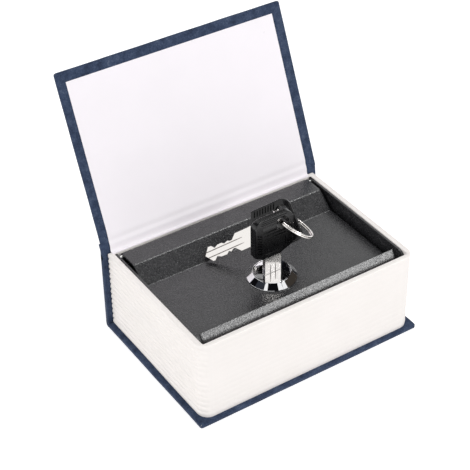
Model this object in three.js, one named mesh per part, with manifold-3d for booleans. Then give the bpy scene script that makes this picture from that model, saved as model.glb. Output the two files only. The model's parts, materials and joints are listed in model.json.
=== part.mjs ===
// A small book safe: a cloth-covered book case that hides a steel box with a sunk, key-locked lid.
// Millimetres, +Z up. X runs along the spine, -Y is the fore-edge and +Y the spine.
// The origin is the centre of the back cover's underside.

import * as THREE from "three";
import { mergeVertices } from "three/addons/utils/BufferGeometryUtils.js";
import Module from "manifold-3d";

const wasm = await Module();
wasm.setup();

const degrees = Math.PI / 180;

// Gaps between pieces
const restGap = 0.3;
const runningGap = 0.1;
const slideGap = 0.25;
const keyFit = 0.3;

// Book case: grey board wrapped in cloth
const coverLength = 118;
const coverWidth = 81.4;
const clothThick = 0.3;
const boardThick = 1.9;
const turnIn = 12;
const frontBoardThick = 1.55;
const paperThick = 0.25;
const coverReach = 83.5;
const coverAngle = 66.6;
const coverShift = 0.6;
const marginLeft = 4;
const marginRight = 5.6;
const marginTop = 4.8;
const spineGapToHinge = 1.5;
const hingeRoll = 1.1;
const hingeInset = 0.45;
const hingeRise = 0.22;
const hingeClearance = 0.5;
const paperTabDepth = 2;

// Page block: a moulded frame with ridges that look like page edges
const pageSideMargin = 2.2;
const pageFrontMargin = 1.8;
const pageRearMargin = 1.6;
const pageHeight = 40.78;
const pageWall = 2.6;
const pageRearWall = 1.9;
const pageCorner = 5.5;
const pageInnerCorner = 0.8;
const ridgeCount = 14;
const ridgeDepth = 0.5;
const ridgeEase = 0.08;

// Steel box
const steel = 0.9;
const boxRimDrop = 0.3;
const boxFlange = 4;
const boxCornerRadius = 5;
const rivetHeadRadius = 3;
const rivetHeadHeight = 1.2;
const rivetCrownRadius = 2.4;
const rivetCrownHeight = 0.85;
const rivetShankRadius = 1.5;
const rivetShankLength = 1.8;
const rivetInsetX = 22;
const rivetInsetY = 14;

// Lid: one bent sheet that turns on a rod at the back
const lidSheet = 1;
const lidSideGap = 1.7;
const lidRimDrop = 0.1;
const lidStripWidth = 11.4;
const lidSlopeRun = 9;
const lidRecess = 6.7;
const lidFrontGap = 1.25;
const lipAngle = 51;
const lipLength = 7.9;
const rodRadius = 0.8;
const rollWall = 0.7;

// Lock
const lockFromSlope = 24.8;
const bezelRadius = 11.45;
const bezelEdge = 0.4;
const bezelHeight = 2.7;
const bezelRimRadius = 8.75;
const bezelRimWidth = 0.4;
const barrelRadius = 8;
const barrelLength = 20;
const barrelFlat = 7;
const plugRadius = 6;
const plugCapThick = 1;
const plugCapSink = 0.2;
const washerThick = 0.6;
const washerRadius = 10.5;
const nutThick = 3;
const nutFlats = 20;
const waferCount = 4;
const waferPitch = 2.1;
const waferThick = 0.8;
const waferStart = 1.6;
const waferHalfWidth = 3;
const waferWall = 1.6;
const camThick = 2;
const camEndGap = 1.8;
const camWidth = 12;
const camSquare = 6;
const camTailExtra = 0.3;
const camWasherRadius = 4.6;
const camWasherThick = 0.7;
const camScrewHeadRadius = 4;
const camScrewHeadHeight = 2.4;
const camScrewRadius = 1.9;
const camScrewLength = 6;
const camScrewHoleExtra = 0.5;
const camScrewTopRadius = 2.8;
const camScrewRimHeight = 1.4;
const camScrewSlotHalf = 2.4;
const camScrewSlotWidth = 1;
const camScrewSlotDepth = 1.2;
const catchPlay = 0.9;
const catchWidth = 20;
const catchHeight = 11;
const catchReach = 5.5;

// Keys: u runs from the tip to the head's end, v across the blade
const keyThick = 1.9;
const keyHeadThick = 4.4;
const keyHeadStart = 24.1;
const keyHeadEnd = 45.2;
const keyHeadHalf = 10.1;
const keyShoulderStart = 16.5;
const keyShoulderHalf = 4.4;
const keyBladeHalf = 3.5;
const keyTangLength = 11;
const keyTangHalf = 3;
const keyShoulderInHead = 1.2;
const keyInserted = 14.2;
const keyHoleFromEnd = 4.7;
const keyHoleOffset = 4;
const keyHoleRadius = 3;
const keyHeadBevel = 0.5;
const headHighFlat = 2.5;
const headHighSlant = 3.2;
const headLowFlat = 6.2;
const headLowSlant = 2.2;
const headCorner = 4;
const headTaperRun = 2.6;
const headTaperDepth = 0.87;
const grooveWidth = 0.8;
const grooveDepth = 0.4;
const grooveOffset = 1.3;
const upperCuts = [[2.7, 0], [4.2, 0.1], [5.4, 1.5], [7.2, 0.6], [9.2, 0.7], [10.3, 1.4],
  [12.1, 0.9], [13, 1.4], [14.2, 1.3]];
const lowerCuts = [[2.7, 0], [3.6, 0], [5.2, 1.4], [7, 0.4], [9.7, 0.3], [11, 1.4], [11.9, 0.7],
  [13.3, 1.6], [14.2, 1.5]];

// Spare key: where its tip lies on the lid, and how it leans on the ring
const spareTipLeft = 18.4;
const spareTipUpSlope = 0.9;
const spareTipLift = 2.22;
const spareHeading = -28.7;
const spareRise = 25.7;
const spareRoll = 46.8;

// Split ring: two turns side by side
const ringRadius = 10.5;
const ringWire = 0.8;
const ringPitch = 1.25;
const ringStepAngle = 60;
const ringStepsPerTurn = 24;
const ringSides = 6;
const ringLean = new THREE.Vector3(0.515, -0.724, -0.46);

const fineSides = 40;
const smallSides = 24;

// Places worked out from the sizes above
const coverThick = boardThick + 2 * clothThick;
const frontThick = frontBoardThick + 2 * clothThick + paperThick;
const halfCover = coverLength / 2;
const backFront = -coverWidth / 2;
const pageHalf = halfCover - pageSideMargin;
const pageFront = backFront + pageFrontMargin;
const pageRear = coverWidth / 2 - pageRearMargin;
const rimTop = coverThick + pageHeight;
const spineFront = pageRear + restGap;
const spineRear = spineFront + coverThick;
const hingeY = (spineFront + spineRear) / 2 - hingeInset;
const hingeZ = rimTop + hingeRise;
const spineTop = hingeZ - spineGapToHinge;
const boxHalf = pageHalf - pageWall - restGap;
const boxFront = pageFront + pageWall + restGap;
const boxRear = pageRear - pageRearWall - restGap;
const boxBottom = coverThick;
const boxRim = rimTop - boxRimDrop;
const lidHalf = boxHalf - steel - lidSideGap;
const lidTop = rimTop - lidRimDrop;
const rollRadius = rodRadius + runningGap + rollWall;
const rodY = pageRear - pageRearWall - restGap - rollRadius;
const rodZ = lidTop - rollRadius;
const panelTop = lidTop - lidRecess;
const panelUnder = panelTop - lidSheet;
const boxFrontTop = panelUnder - restGap;
const boxRearTop = rodZ - rollRadius - restGap;
const slopeTop = rodY + rollRadius - lidStripWidth;
const slopeFoot = slopeTop - lidSlopeRun;
const lockY = slopeFoot - lockFromSlope;
const camLength = lockY - boxFront - steel - camEndGap;
const plugTop = panelTop + bezelHeight - plugCapSink;
const plugStep = plugTop - plugCapThick;
const barrelBottom = panelTop - barrelLength;
const plugBottom = barrelBottom - restGap;
const camTop = plugBottom;
const camBottom = camTop - camThick;
const tailBottom = camBottom - camTailExtra;
const screwSeat = camBottom - camWasherThick - camTailExtra;
const keyTipZ = panelTop + bezelHeight - keyInserted;
const holeU = keyHeadEnd - keyHoleFromEnd;
const spareTip = new THREE.Vector3(-spareTipLeft, slopeFoot + spareTipUpSlope, panelTop + spareTipLift);

// Shape helpers

// A closed solid for joining and cutting, from any closed three.js geometry.
function solid(geometry) {
  const bare = new THREE.BufferGeometry();
  const flat = geometry.index ? geometry.toNonIndexed() : geometry;
  bare.setAttribute("position", flat.getAttribute("position"));
  const merged = mergeVertices(bare, 1e-4);
  return new wasm.Manifold(new wasm.Mesh({
    numProp: 3,
    vertProperties: new Float32Array(merged.attributes.position.array),
    triVerts: new Uint32Array(merged.index.array),
  }));
}

function geometryOf(body) {
  const mesh = body.getMesh();
  const geometry = new THREE.BufferGeometry();
  const positions = new Float32Array(mesh.numVert * 3);
  for (let i = 0; i < mesh.numVert; i++) {
    const from = i * mesh.numProp;
    positions.set(mesh.vertProperties.subarray(from, from + 3), i * 3);
  }
  geometry.setAttribute("position", new THREE.BufferAttribute(positions, 3));
  geometry.setIndex(new THREE.BufferAttribute(new Uint32Array(mesh.triVerts), 1));
  const faceted = geometry.toNonIndexed();
  faceted.computeVertexNormals();
  return faceted;
}

function box(x0, x1, y0, y1, z0, z1) {
  const geometry = new THREE.BoxGeometry(x1 - x0, y1 - y0, z1 - z0);
  geometry.translate((x0 + x1) / 2, (y0 + y1) / 2, (z0 + z1) / 2);
  return solid(geometry);
}

// A cylinder along Z, centred on x, y.
function cylinder(radius, z0, z1, x = 0, y = 0, sides = smallSides) {
  const geometry = new THREE.CylinderGeometry(radius, radius, z1 - z0, sides);
  geometry.rotateX(Math.PI / 2);
  geometry.translate(x, y, (z0 + z1) / 2);
  return solid(geometry);
}

// A cylinder along X, centred on y, z.
function crossCylinder(radius, x0, x1, y, z, sides = smallSides) {
  const geometry = new THREE.CylinderGeometry(radius, radius, x1 - x0, sides);
  geometry.rotateZ(Math.PI / 2);
  geometry.translate((x0 + x1) / 2, y, z);
  return solid(geometry);
}

// Turns a profile of [radius, height] points round the Z axis at x = 0, y.
function turned(profile, y, sides = fineSides) {
  const points = profile.map(([r, z]) => new THREE.Vector2(r, z));
  const geometry = new THREE.LatheGeometry(points, sides);
  geometry.rotateX(Math.PI / 2);
  geometry.translate(0, y, 0);
  return solid(geometry);
}

// Extrudes an outline of [y, z] points along X.
function alongX(outline, x0, x1) {
  const shape = new THREE.Shape(outline.map(([y, z]) => new THREE.Vector2(y, z)));
  const geometry = new THREE.ExtrudeGeometry(shape, { depth: x1 - x0, bevelEnabled: false });
  geometry.applyMatrix4(new THREE.Matrix4().makeBasis(
    new THREE.Vector3(0, 1, 0), new THREE.Vector3(0, 0, 1), new THREE.Vector3(1, 0, 0)));
  geometry.translate(x0, 0, 0);
  return solid(geometry);
}

// Extrudes an outline of [x, z] points along Y.
function alongY(outline, y0, y1) {
  const shape = new THREE.Shape(outline.map(([x, z]) => new THREE.Vector2(x, z)));
  const geometry = new THREE.ExtrudeGeometry(shape, { depth: y1 - y0, bevelEnabled: false });
  geometry.rotateX(Math.PI / 2);
  geometry.translate(0, y1, 0);
  return solid(geometry);
}

// The closed outline of a bent sheet whose one side follows the points.
function sheetOutline(points, thick) {
  const line = points.map(([a, b]) => new THREE.Vector2(a, b));
  const normals = line.slice(1).map((p, i) => {
    const along = p.clone().sub(line[i]).normalize();
    return new THREE.Vector2(-along.y, along.x);
  });
  const offset = line.map((p, i) => {
    const before = normals[Math.max(i - 1, 0)];
    const after = normals[Math.min(i, normals.length - 1)];
    const corner = before.clone().add(after).normalize();
    return p.clone().addScaledVector(corner, thick / corner.dot(before));
  });
  return [...line, ...offset.reverse()].map((p) => [p.x, p.y]);
}

// Materials

function finish(color, roughness, metalness) {
  return new THREE.MeshStandardMaterial({ color, roughness, metalness, flatShading: true });
}

const bookcloth = finish(0x2a3a66, 0.85, 0);
const greyBoard = finish(0x8d8a84, 0.95, 0);
const endpaper = finish(0xf4f3f6, 0.8, 0);
const creamPlastic = finish(0xf3efe4, 0.5, 0);
const paintedSteel = finish(0x4a4b4d, 0.55, 0.3);
const chrome = finish(0xd5d6d8, 0.12, 1);
const zincSteel = finish(0xa9abae, 0.35, 0.9);
const brass = finish(0xc2a45c, 0.35, 0.9);
const nickel = finish(0xd9d7d2, 0.22, 1);
const blackPlastic = finish(0x151517, 0.3, 0);

const safe = new THREE.Group();

function add(name, body, material, parent = safe) {
  const mesh = new THREE.Mesh(geometryOf(body), material);
  mesh.name = name;
  parent.add(mesh);
}

// Book case

// A board wrapped in cloth: the cloth's shell keeps a window where its turned-in edges stop.
function wrappedBoard(x0, x1, y0, y1, z0, thick, windowEdges) {
  const z1 = z0 + thick + 2 * clothThick;
  const inner = [x0 + clothThick, x1 - clothThick, y0 + clothThick, y1 - clothThick];
  const board = box(...inner, z0 + clothThick, z1 - clothThick);
  const [left, right, low, high] = windowEdges;
  const window = box(left, right, low, high, z1 - 2 * clothThick, z1 + clothThick);
  const cloth = box(x0, x1, y0, y1, z0, z1).subtract(board).subtract(window);
  return { board, cloth, window };
}

function addBackCover() {
  const edges = [-halfCover + turnIn, halfCover - turnIn, backFront + turnIn, coverWidth / 2 - turnIn];
  const { board, cloth } = wrappedBoard(
    -halfCover, halfCover, backFront, coverWidth / 2, 0, boardThick, edges);
  const paper = box(...edges, coverThick - clothThick, coverThick);
  let drilledBoard = board;
  let drilledPaper = paper;
  for (const [x, y] of rivetPlaces()) {
    const hole = cylinder(rivetShankRadius + runningGap, clothThick * 2, coverThick + 1, x, y);
    drilledBoard = drilledBoard.subtract(hole);
    drilledPaper = drilledPaper.subtract(hole);
  }
  add("back_board", drilledBoard, greyBoard);
  add("back_cloth", cloth, bookcloth);
  add("back_endpaper", drilledPaper, endpaper);
}

function addSpine() {
  const board = box(-halfCover + clothThick, halfCover - clothThick,
    spineFront + clothThick, spineRear - clothThick,
    coverThick + clothThick, spineTop - clothThick);
  const window = box(-halfCover + turnIn, halfCover - turnIn,
    spineFront - clothThick, spineFront + 2 * clothThick,
    coverThick + turnIn, spineTop - turnIn);
  const cloth = box(-halfCover, halfCover, spineFront, spineRear, coverThick, spineTop)
    .subtract(board).subtract(window);
  add("spine_board", board, greyBoard);
  add("spine_cloth", cloth, bookcloth);
  const crease = [[coverWidth / 2, clothThick * 2], [spineRear - clothThick * 2, clothThick * 2],
    [spineRear, coverThick - clothThick * 2], [spineRear, coverThick], [coverWidth / 2, coverThick]];
  add("rear_crease_cloth", alongX(crease, -halfCover, halfCover), bookcloth);
  const roll = crossCylinder(hingeRoll, -halfCover, halfCover, hingeY, hingeZ)
    .add(box(-halfCover, halfCover, hingeY - hingeClearance, hingeY + hingeClearance, spineTop, hingeZ));
  add("hinge_cloth", roll, bookcloth);
}

// The front cover is built lying along +Y from its hinge, inside up, then tilted open.
function addFrontCover() {
  const cover = new THREE.Group();
  cover.position.set(coverShift, hingeY, hingeZ);
  cover.rotation.x = coverAngle * degrees;
  const low = hingeRoll + hingeClearance;
  const under = -frontThick / 2;
  const edges = [-halfCover + turnIn, halfCover - turnIn, low + turnIn, coverReach - turnIn];
  const { board, cloth, window } = wrappedBoard(
    -halfCover, halfCover, low, coverReach, under, frontBoardThick, edges);
  add("front_board", board, greyBoard, cover);
  add("front_cloth", cloth, bookcloth, cover);
  const top = under + frontBoardThick + 2 * clothThick;
  const sheet = box(-halfCover + marginLeft, halfCover - marginRight, low, coverReach - marginTop,
    top, top + paperThick);
  const middle = window.intersect(box(...edges, top - clothThick, top + paperThick / 2));
  add("front_endpaper", sheet.add(middle), endpaper, cover);
  safe.add(cover);
}

// The endpaper's lower edge, pasted along the page block's rear rim.
function addPaperTab() {
  const rear = hingeY - hingeRoll - runningGap;
  add("endpaper_tab",
    box(-pageHalf + pageWall, pageHalf - pageWall, rear - paperTabDepth, rear, rimTop, rimTop + paperThick),
    endpaper);
}

// Page block

// Half of the block's plan outline, square at the spine and rounded at the fore-edge.
function pageOutline(inset) {
  const x = pageHalf - inset;
  const front = pageFront + inset;
  const radius = pageCorner - inset;
  const right = [[x, pageRear]];
  const arcSteps = 5;
  for (let i = 0; i <= arcSteps; i++) {
    const a = (i / arcSteps) * 90 * degrees;
    right.push([x - radius + radius * Math.cos(a), front + radius - radius * Math.sin(a)]);
  }
  const left = right.map(([px, py]) => [-px, py]).reverse();
  return [...right, ...left];
}

// Stacks the outline up the block, drawn in at each groove between two ridges.
function ridgedBlock() {
  const insets = [ridgeDepth, ridgeEase, 0, ridgeEase];
  const pitch = pageHeight / ridgeCount;
  const layers = [];
  for (let ridge = 0; ridge < ridgeCount; ridge++) {
    insets.forEach((inset, i) => layers.push([inset, coverThick + pitch * (ridge + i / insets.length)]));
  }
  layers.push([2 * ridgeEase, rimTop]);
  const rings = layers.map(([inset, z]) => pageOutline(inset).map(([x, y]) => [x, y, z]));
  const count = rings[0].length;
  const positions = [];
  const push = (...points) => points.forEach((p) => positions.push(...p));
  for (let k = 0; k + 1 < rings.length; k++) {
    for (let i = 0; i < count; i++) {
      const j = (i + 1) % count;
      const [a, b, c, d] = [rings[k][i], rings[k][j], rings[k + 1][j], rings[k + 1][i]];
      push(a, c, b, a, d, c);
    }
  }
  const bottom = rings[0];
  const top = rings[rings.length - 1];
  for (let i = 1; i + 1 < count; i++) {
    push(bottom[0], bottom[i], bottom[i + 1]);
    push(top[0], top[i + 1], top[i]);
  }
  const geometry = new THREE.BufferGeometry();
  geometry.setAttribute("position", new THREE.Float32BufferAttribute(positions, 3));
  return solid(geometry);
}

function addPageBlock() {
  const x = pageHalf - pageWall;
  const front = pageFront + pageWall;
  const rear = pageRear - pageRearWall;
  const r = pageInnerCorner;
  const shape = new THREE.Shape();
  shape.moveTo(-x, rear);
  shape.lineTo(-x, front + r);
  shape.absarc(-x + r, front + r, r, Math.PI, Math.PI * 1.5);
  shape.lineTo(x - r, front);
  shape.absarc(x - r, front + r, r, Math.PI * 1.5, Math.PI * 2);
  shape.lineTo(x, rear);
  shape.closePath();
  const geometry = new THREE.ExtrudeGeometry(shape,
    { depth: pageHeight + 2, bevelEnabled: false, curveSegments: 4 });
  geometry.translate(0, 0, coverThick - 1);
  add("page_block", ridgedBlock().subtract(solid(geometry)), creamPlastic);
}

// Steel box

function rivetPlaces() {
  const places = [];
  for (const x of [-boxHalf + rivetInsetX, boxHalf - rivetInsetX]) {
    for (const y of [boxFront + rivetInsetY, boxRear - rivetInsetY]) {
      places.push([x, y]);
    }
  }
  return places;
}

// A side wall's outline: full height, with its front top corner rounded down.
function sideWall(x0, x1) {
  const r = boxCornerRadius;
  const outline = [[boxRear, boxBottom], [boxRear, boxRim], [boxFront + r, boxRim]];
  const arcSteps = 4;
  for (let i = 1; i <= arcSteps; i++) {
    const a = (i / arcSteps) * 90 * degrees;
    outline.push([boxFront + r - r * Math.sin(a), boxRim - r + r * Math.cos(a)]);
  }
  outline.push([boxFront, boxBottom]);
  return alongX(outline.reverse(), x0, x1);
}

function addBox() {
  const inner = boxHalf - steel;
  let body = box(-boxHalf, boxHalf, boxFront, boxRear, boxBottom, boxBottom + steel)
    .add(box(-boxHalf, boxHalf, boxFront, boxFront + steel, boxBottom, boxFrontTop))
    .add(box(-inner, inner, boxFront, boxFront + boxFlange, boxFrontTop - steel, boxFrontTop))
    .add(box(-boxHalf, boxHalf, boxRear - steel, boxRear, boxBottom, boxRearTop))
    .add(sideWall(-boxHalf, -inner))
    .add(sideWall(inner, boxHalf))
    .subtract(crossCylinder(rodRadius + runningGap / 2, -boxHalf - 1, boxHalf + 1, rodY, rodZ));
  for (const [x, y] of rivetPlaces()) {
    body = body.subtract(cylinder(rivetShankRadius + runningGap, 0, boxBottom + steel + 1, x, y));
  }
  add("box_body", body, paintedSteel);
  rivetPlaces().forEach(([x, y], i) => {
    const floor = boxBottom + steel;
    const head = turned([[0, floor], [rivetHeadRadius, floor],
      [rivetCrownRadius, floor + rivetCrownHeight], [0, floor + rivetHeadHeight]], 0, smallSides);
    const rivet = head.add(cylinder(rivetShankRadius, floor - rivetShankLength, floor + rivetHeadHeight / 2));
    add("floor_rivet_" + (i + 1), rivet.translate([x, y, 0]), zincSteel);
  });
  add("hinge_rod", crossCylinder(rodRadius, -boxHalf + restGap, boxHalf - restGap, rodY, rodZ), zincSteel);
}

// An angle on the front wall that the lock's cam turns under.
function addCatch() {
  const wall = boxFront + steel;
  const low = camTop + catchPlay;
  const half = catchWidth / 2;
  const angle = box(-half, half, wall, wall + steel, low, low + catchHeight)
    .add(box(-half, half, wall, wall + catchReach, low, low + steel));
  add("catch_angle", angle, zincSteel);
}

// Lid

function addLid(lid) {
  const lipRun = Math.cos(lipAngle * degrees);
  const lipRise = Math.sin(lipAngle * degrees);
  const frontCorner = pageFront + pageWall + lidFrontGap;
  const innerCorner = frontCorner + lidSheet * (1 + lipRun) / lipRise;
  const upper = [[rodY, lidTop], [slopeTop, lidTop], [slopeFoot, panelTop], [innerCorner, panelTop],
    [innerCorner + lipLength * lipRun, panelTop + lipLength * lipRise]];
  const holeHalf = barrelFlat + runningGap;
  const lockHole = cylinder(barrelRadius + runningGap, panelUnder - 1, panelTop + 1, 0, lockY, fineSides)
    .intersect(box(-bezelRadius, bezelRadius, lockY - holeHalf, lockY + holeHalf,
      panelUnder - 1, panelTop + 1));
  const body = alongX(sheetOutline(upper, lidSheet), -lidHalf, lidHalf)
    .add(crossCylinder(rollRadius, -lidHalf, lidHalf, rodY, rodZ))
    .subtract(crossCylinder(rodRadius + runningGap, -lidHalf - 1, lidHalf + 1, rodY, rodZ))
    .subtract(lockHole);
  add("box_lid", body, paintedSteel, lid);
}

// Lock

function addBarrel(lid) {
  const bore = plugRadius + runningGap;
  const capBore = bezelRimRadius - bezelRimWidth;
  const bezelTop = panelTop + bezelHeight;
  const profile = [[bore, barrelBottom], [barrelRadius, barrelBottom], [barrelRadius, panelTop],
    [bezelRadius, panelTop], [bezelRadius, panelTop + bezelEdge], [bezelRimRadius, bezelTop],
    [capBore, bezelTop], [capBore, plugStep], [bore, plugStep], [bore, barrelBottom]];
  const flats = box(-barrelRadius, barrelRadius, lockY + barrelFlat, lockY + barrelRadius + 1,
    barrelBottom - 1, panelTop).add(
    box(-barrelRadius, barrelRadius, lockY - barrelRadius - 1, lockY - barrelFlat,
      barrelBottom - 1, panelTop));
  add("lock_barrel", turned(profile, lockY).subtract(flats), chrome, lid);
}

function addLockNut(lid) {
  const hole = cylinder(barrelRadius + runningGap, barrelBottom, panelUnder + 1, 0, lockY, fineSides);
  const washerUnder = panelUnder - washerThick;
  const washer = cylinder(washerRadius, washerUnder, panelUnder, 0, lockY, fineSides).subtract(hole);
  add("lock_washer", washer, zincSteel, lid);
  const hexRadius = nutFlats / 2 / Math.cos(30 * degrees);
  const hex = cylinder(hexRadius, washerUnder - nutThick, washerUnder, 0, lockY, 6);
  const chamfer = turned([[0, washerUnder - nutThick], [nutFlats / 2, washerUnder - nutThick],
    [hexRadius, washerUnder - nutThick + (hexRadius - nutFlats / 2)], [hexRadius, washerUnder],
    [0, washerUnder]], lockY);
  add("lock_nut", hex.intersect(chamfer).subtract(hole), zincSteel, lid);
}

function waferZ(i) {
  return plugStep - waferStart - waferPitch * i;
}

function addPlug(turning) {
  const slotHalf = keyBladeHalf + slideGap;
  const slotY = keyThick / 2 + slideGap;
  const capRadius = bezelRimRadius - bezelRimWidth - runningGap;
  const holeTop = screwSeat + camScrewLength + camScrewHoleExtra;
  let plug = cylinder(plugRadius, plugBottom, plugTop, 0, lockY, fineSides)
    .add(cylinder(capRadius, plugStep, plugTop, 0, lockY, fineSides))
    .add(box(-camSquare / 2, camSquare / 2, lockY - camSquare / 2, lockY + camSquare / 2,
      tailBottom, plugBottom + 1))
    .subtract(box(-slotHalf, slotHalf, lockY - slotY, lockY + slotY, keyTipZ - 1, plugTop + 1))
    .subtract(cylinder(camScrewRadius + runningGap, tailBottom - 1, holeTop, 0, lockY));
  for (let i = 0; i < waferCount; i++) {
    const z = waferZ(i);
    plug = plug.subtract(box(-plugRadius - 1, plugRadius + 1,
      lockY - waferHalfWidth - runningGap, lockY + waferHalfWidth + runningGap,
      z - runningGap, z + waferThick + runningGap));
  }
  add("lock_plug", plug, chrome, turning);
  for (let i = 0; i < waferCount; i++) {
    const z = waferZ(i);
    const plate = box(-plugRadius, plugRadius, lockY - waferHalfWidth, lockY + waferHalfWidth,
      z, z + waferThick);
    const round = cylinder(plugRadius - runningGap, z, z + waferThick, 0, lockY, fineSides);
    const gateHalf = waferHalfWidth - waferWall;
    const gate = box(-slotHalf, slotHalf, lockY - gateHalf, lockY + gateHalf, z - 1, z + waferThick + 1);
    add("wafer_" + (i + 1), plate.intersect(round).subtract(gate), brass, turning);
  }
}

// At rest the cam points along -X, clear of the catch.
function addCam(turning) {
  const hole = camSquare / 2 + runningGap;
  const half = camWidth / 2;
  const plate = cylinder(half, camBottom, camTop, 0, lockY, smallSides)
    .add(box(-camLength + half / 2, 0, lockY - half, lockY + half, camBottom, camTop))
    .add(box(-camLength, -camLength + half / 2 + 1, lockY - half / 2, lockY + half / 2, camBottom, camTop))
    .subtract(box(-hole, hole, lockY - hole, lockY + hole, camBottom - 1, camTop + 1));
  add("lock_cam", plate, zincSteel, turning);
  const washerTop = camBottom - camTailExtra;
  const washer = cylinder(camWasherRadius, screwSeat, washerTop, 0, lockY)
    .subtract(cylinder(camScrewRadius + runningGap, screwSeat - 1, washerTop + 1, 0, lockY));
  add("cam_washer", washer, zincSteel, turning);
  const headTop = screwSeat - camScrewHeadHeight;
  const head = turned([[0, headTop], [camScrewTopRadius, headTop],
    [camScrewHeadRadius, screwSeat - camScrewRimHeight], [camScrewHeadRadius, screwSeat], [0, screwSeat]],
  lockY, smallSides);
  const long = camScrewSlotHalf;
  const wide = camScrewSlotWidth / 2;
  const recess = box(-long, long, lockY - wide, lockY + wide, headTop - 1, headTop + camScrewSlotDepth)
    .add(box(-wide, wide, lockY - long, lockY + long, headTop - 1, headTop + camScrewSlotDepth));
  const slotFloor = headTop + camScrewSlotDepth;
  const screw = head.add(cylinder(camScrewRadius, slotFloor, screwSeat + camScrewLength, 0, lockY))
    .subtract(recess);
  add("cam_screw", screw, zincSteel, turning);
}

// Keys, in their own frame: X from tip to head, Y across, Z through the thickness

function keyPlate(points, thick) {
  const shape = new THREE.Shape(points.map(([u, v]) => new THREE.Vector2(u, v)));
  const geometry = new THREE.ExtrudeGeometry(shape, { depth: thick, bevelEnabled: false });
  geometry.translate(0, 0, -thick / 2);
  return solid(geometry);
}

function bladeBody() {
  const cutEdge = (cuts, side) => cuts.map(([u, depth]) => [u, side * (keyBladeHalf - depth)]);
  const tangEnd = keyHeadStart + keyTangLength;
  const shoulderEnd = keyHeadStart + keyShoulderInHead;
  const lower = [...cutEdge(lowerCuts, -1), [keyShoulderStart, -keyShoulderHalf],
    [shoulderEnd, -keyShoulderHalf], [shoulderEnd + 1, -keyTangHalf], [tangEnd, -keyTangHalf]];
  const upper = [...cutEdge(upperCuts, 1), [keyShoulderStart, keyShoulderHalf],
    [shoulderEnd, keyShoulderHalf], [shoulderEnd + 1, keyTangHalf], [tangEnd, keyTangHalf]];
  let blade = keyPlate([[0, 0], ...lower, ...upper.reverse()], keyThick);
  for (const v of [-grooveOffset, grooveOffset]) {
    for (const side of [-1, 1]) {
      const middle = side * keyThick / 2;
      blade = blade.subtract(box(-1, keyShoulderStart + 2, v - grooveWidth / 2, v + grooveWidth / 2,
        middle - grooveDepth, middle + grooveDepth));
    }
  }
  return blade;
}

// The head's outline: slanted on both sides of the blade, with two rounded far corners.
function headPoints(inset) {
  const far = keyHeadEnd - inset;
  const half = keyHeadHalf - inset;
  const near = keyHeadStart + inset;
  const points = [[near + headLowSlant, -half], [near, -headLowFlat], [near, headHighFlat],
    [near + headHighSlant, half]];
  const arcSteps = 4;
  const corner = (side, from) => {
    for (let i = 0; i <= arcSteps; i++) {
      const a = (from - (i / arcSteps) * 90) * degrees;
      points.push([far - headCorner + headCorner * Math.cos(a),
        side * (half - headCorner) + headCorner * Math.sin(a)]);
    }
  };
  corner(1, 90);
  corner(-1, 0);
  return points.reverse();
}

// What is cut off both faces so that the head gets thinner towards its far end.
function headTaper() {
  const start = keyHeadEnd - headTaperRun;
  const beyond = keyHeadEnd + 1;
  const face = keyHeadThick / 2;
  const drop = headTaperDepth * (headTaperRun + 1) / headTaperRun;
  const wedge = alongY([[start, face], [beyond, face - drop], [beyond, face + 1], [start, face + 1]],
    -keyHeadHalf - 1, keyHeadHalf + 1);
  return wedge.add(wedge.mirror([0, 0, 1]));
}

function headBody() {
  const shape = new THREE.Shape(headPoints(keyHeadBevel).map(([u, v]) => new THREE.Vector2(u, v)));
  const hole = new THREE.Path();
  hole.absarc(holeU, keyHoleOffset, keyHoleRadius + keyHeadBevel, 0, Math.PI * 2, true);
  shape.holes.push(hole);
  const geometry = new THREE.ExtrudeGeometry(shape, {
    depth: keyHeadThick - 2 * keyHeadBevel, bevelSize: keyHeadBevel, bevelThickness: keyHeadBevel,
    bevelSegments: 1, curveSegments: 10,
  });
  geometry.translate(0, 0, -keyHeadThick / 2 + keyHeadBevel);
  const halfSlot = keyThick / 2 + keyFit;
  const tangSlot = box(keyHeadStart - 1, keyHeadStart + keyTangLength + keyFit,
    -keyTangHalf - keyFit, keyTangHalf + keyFit, -halfSlot, halfSlot);
  const throat = box(keyHeadStart - 1, keyHeadStart + keyShoulderInHead + keyFit + 1,
    -keyShoulderHalf - keyFit, keyShoulderHalf + keyFit, -halfSlot, halfSlot);
  return solid(geometry).subtract(tangSlot).subtract(throat).subtract(headTaper());
}

function addKey(parent, bladeName, headName, origin, along, across) {
  const key = new THREE.Group();
  const through = along.clone().cross(across);
  key.setRotationFromMatrix(new THREE.Matrix4().makeBasis(along, across, through));
  key.position.copy(origin);
  add(bladeName, bladeBody(), nickel, key);
  add(headName, headBody(), blackPlastic, key);
  parent.add(key);
}

function spareAxes() {
  const turn = new THREE.Euler(spareRoll * degrees, -spareRise * degrees, spareHeading * degrees, "ZYX");
  return [new THREE.Vector3(1, 0, 0).applyEuler(turn), new THREE.Vector3(0, 1, 0).applyEuler(turn)];
}

// Split ring through the holes of both heads

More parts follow.
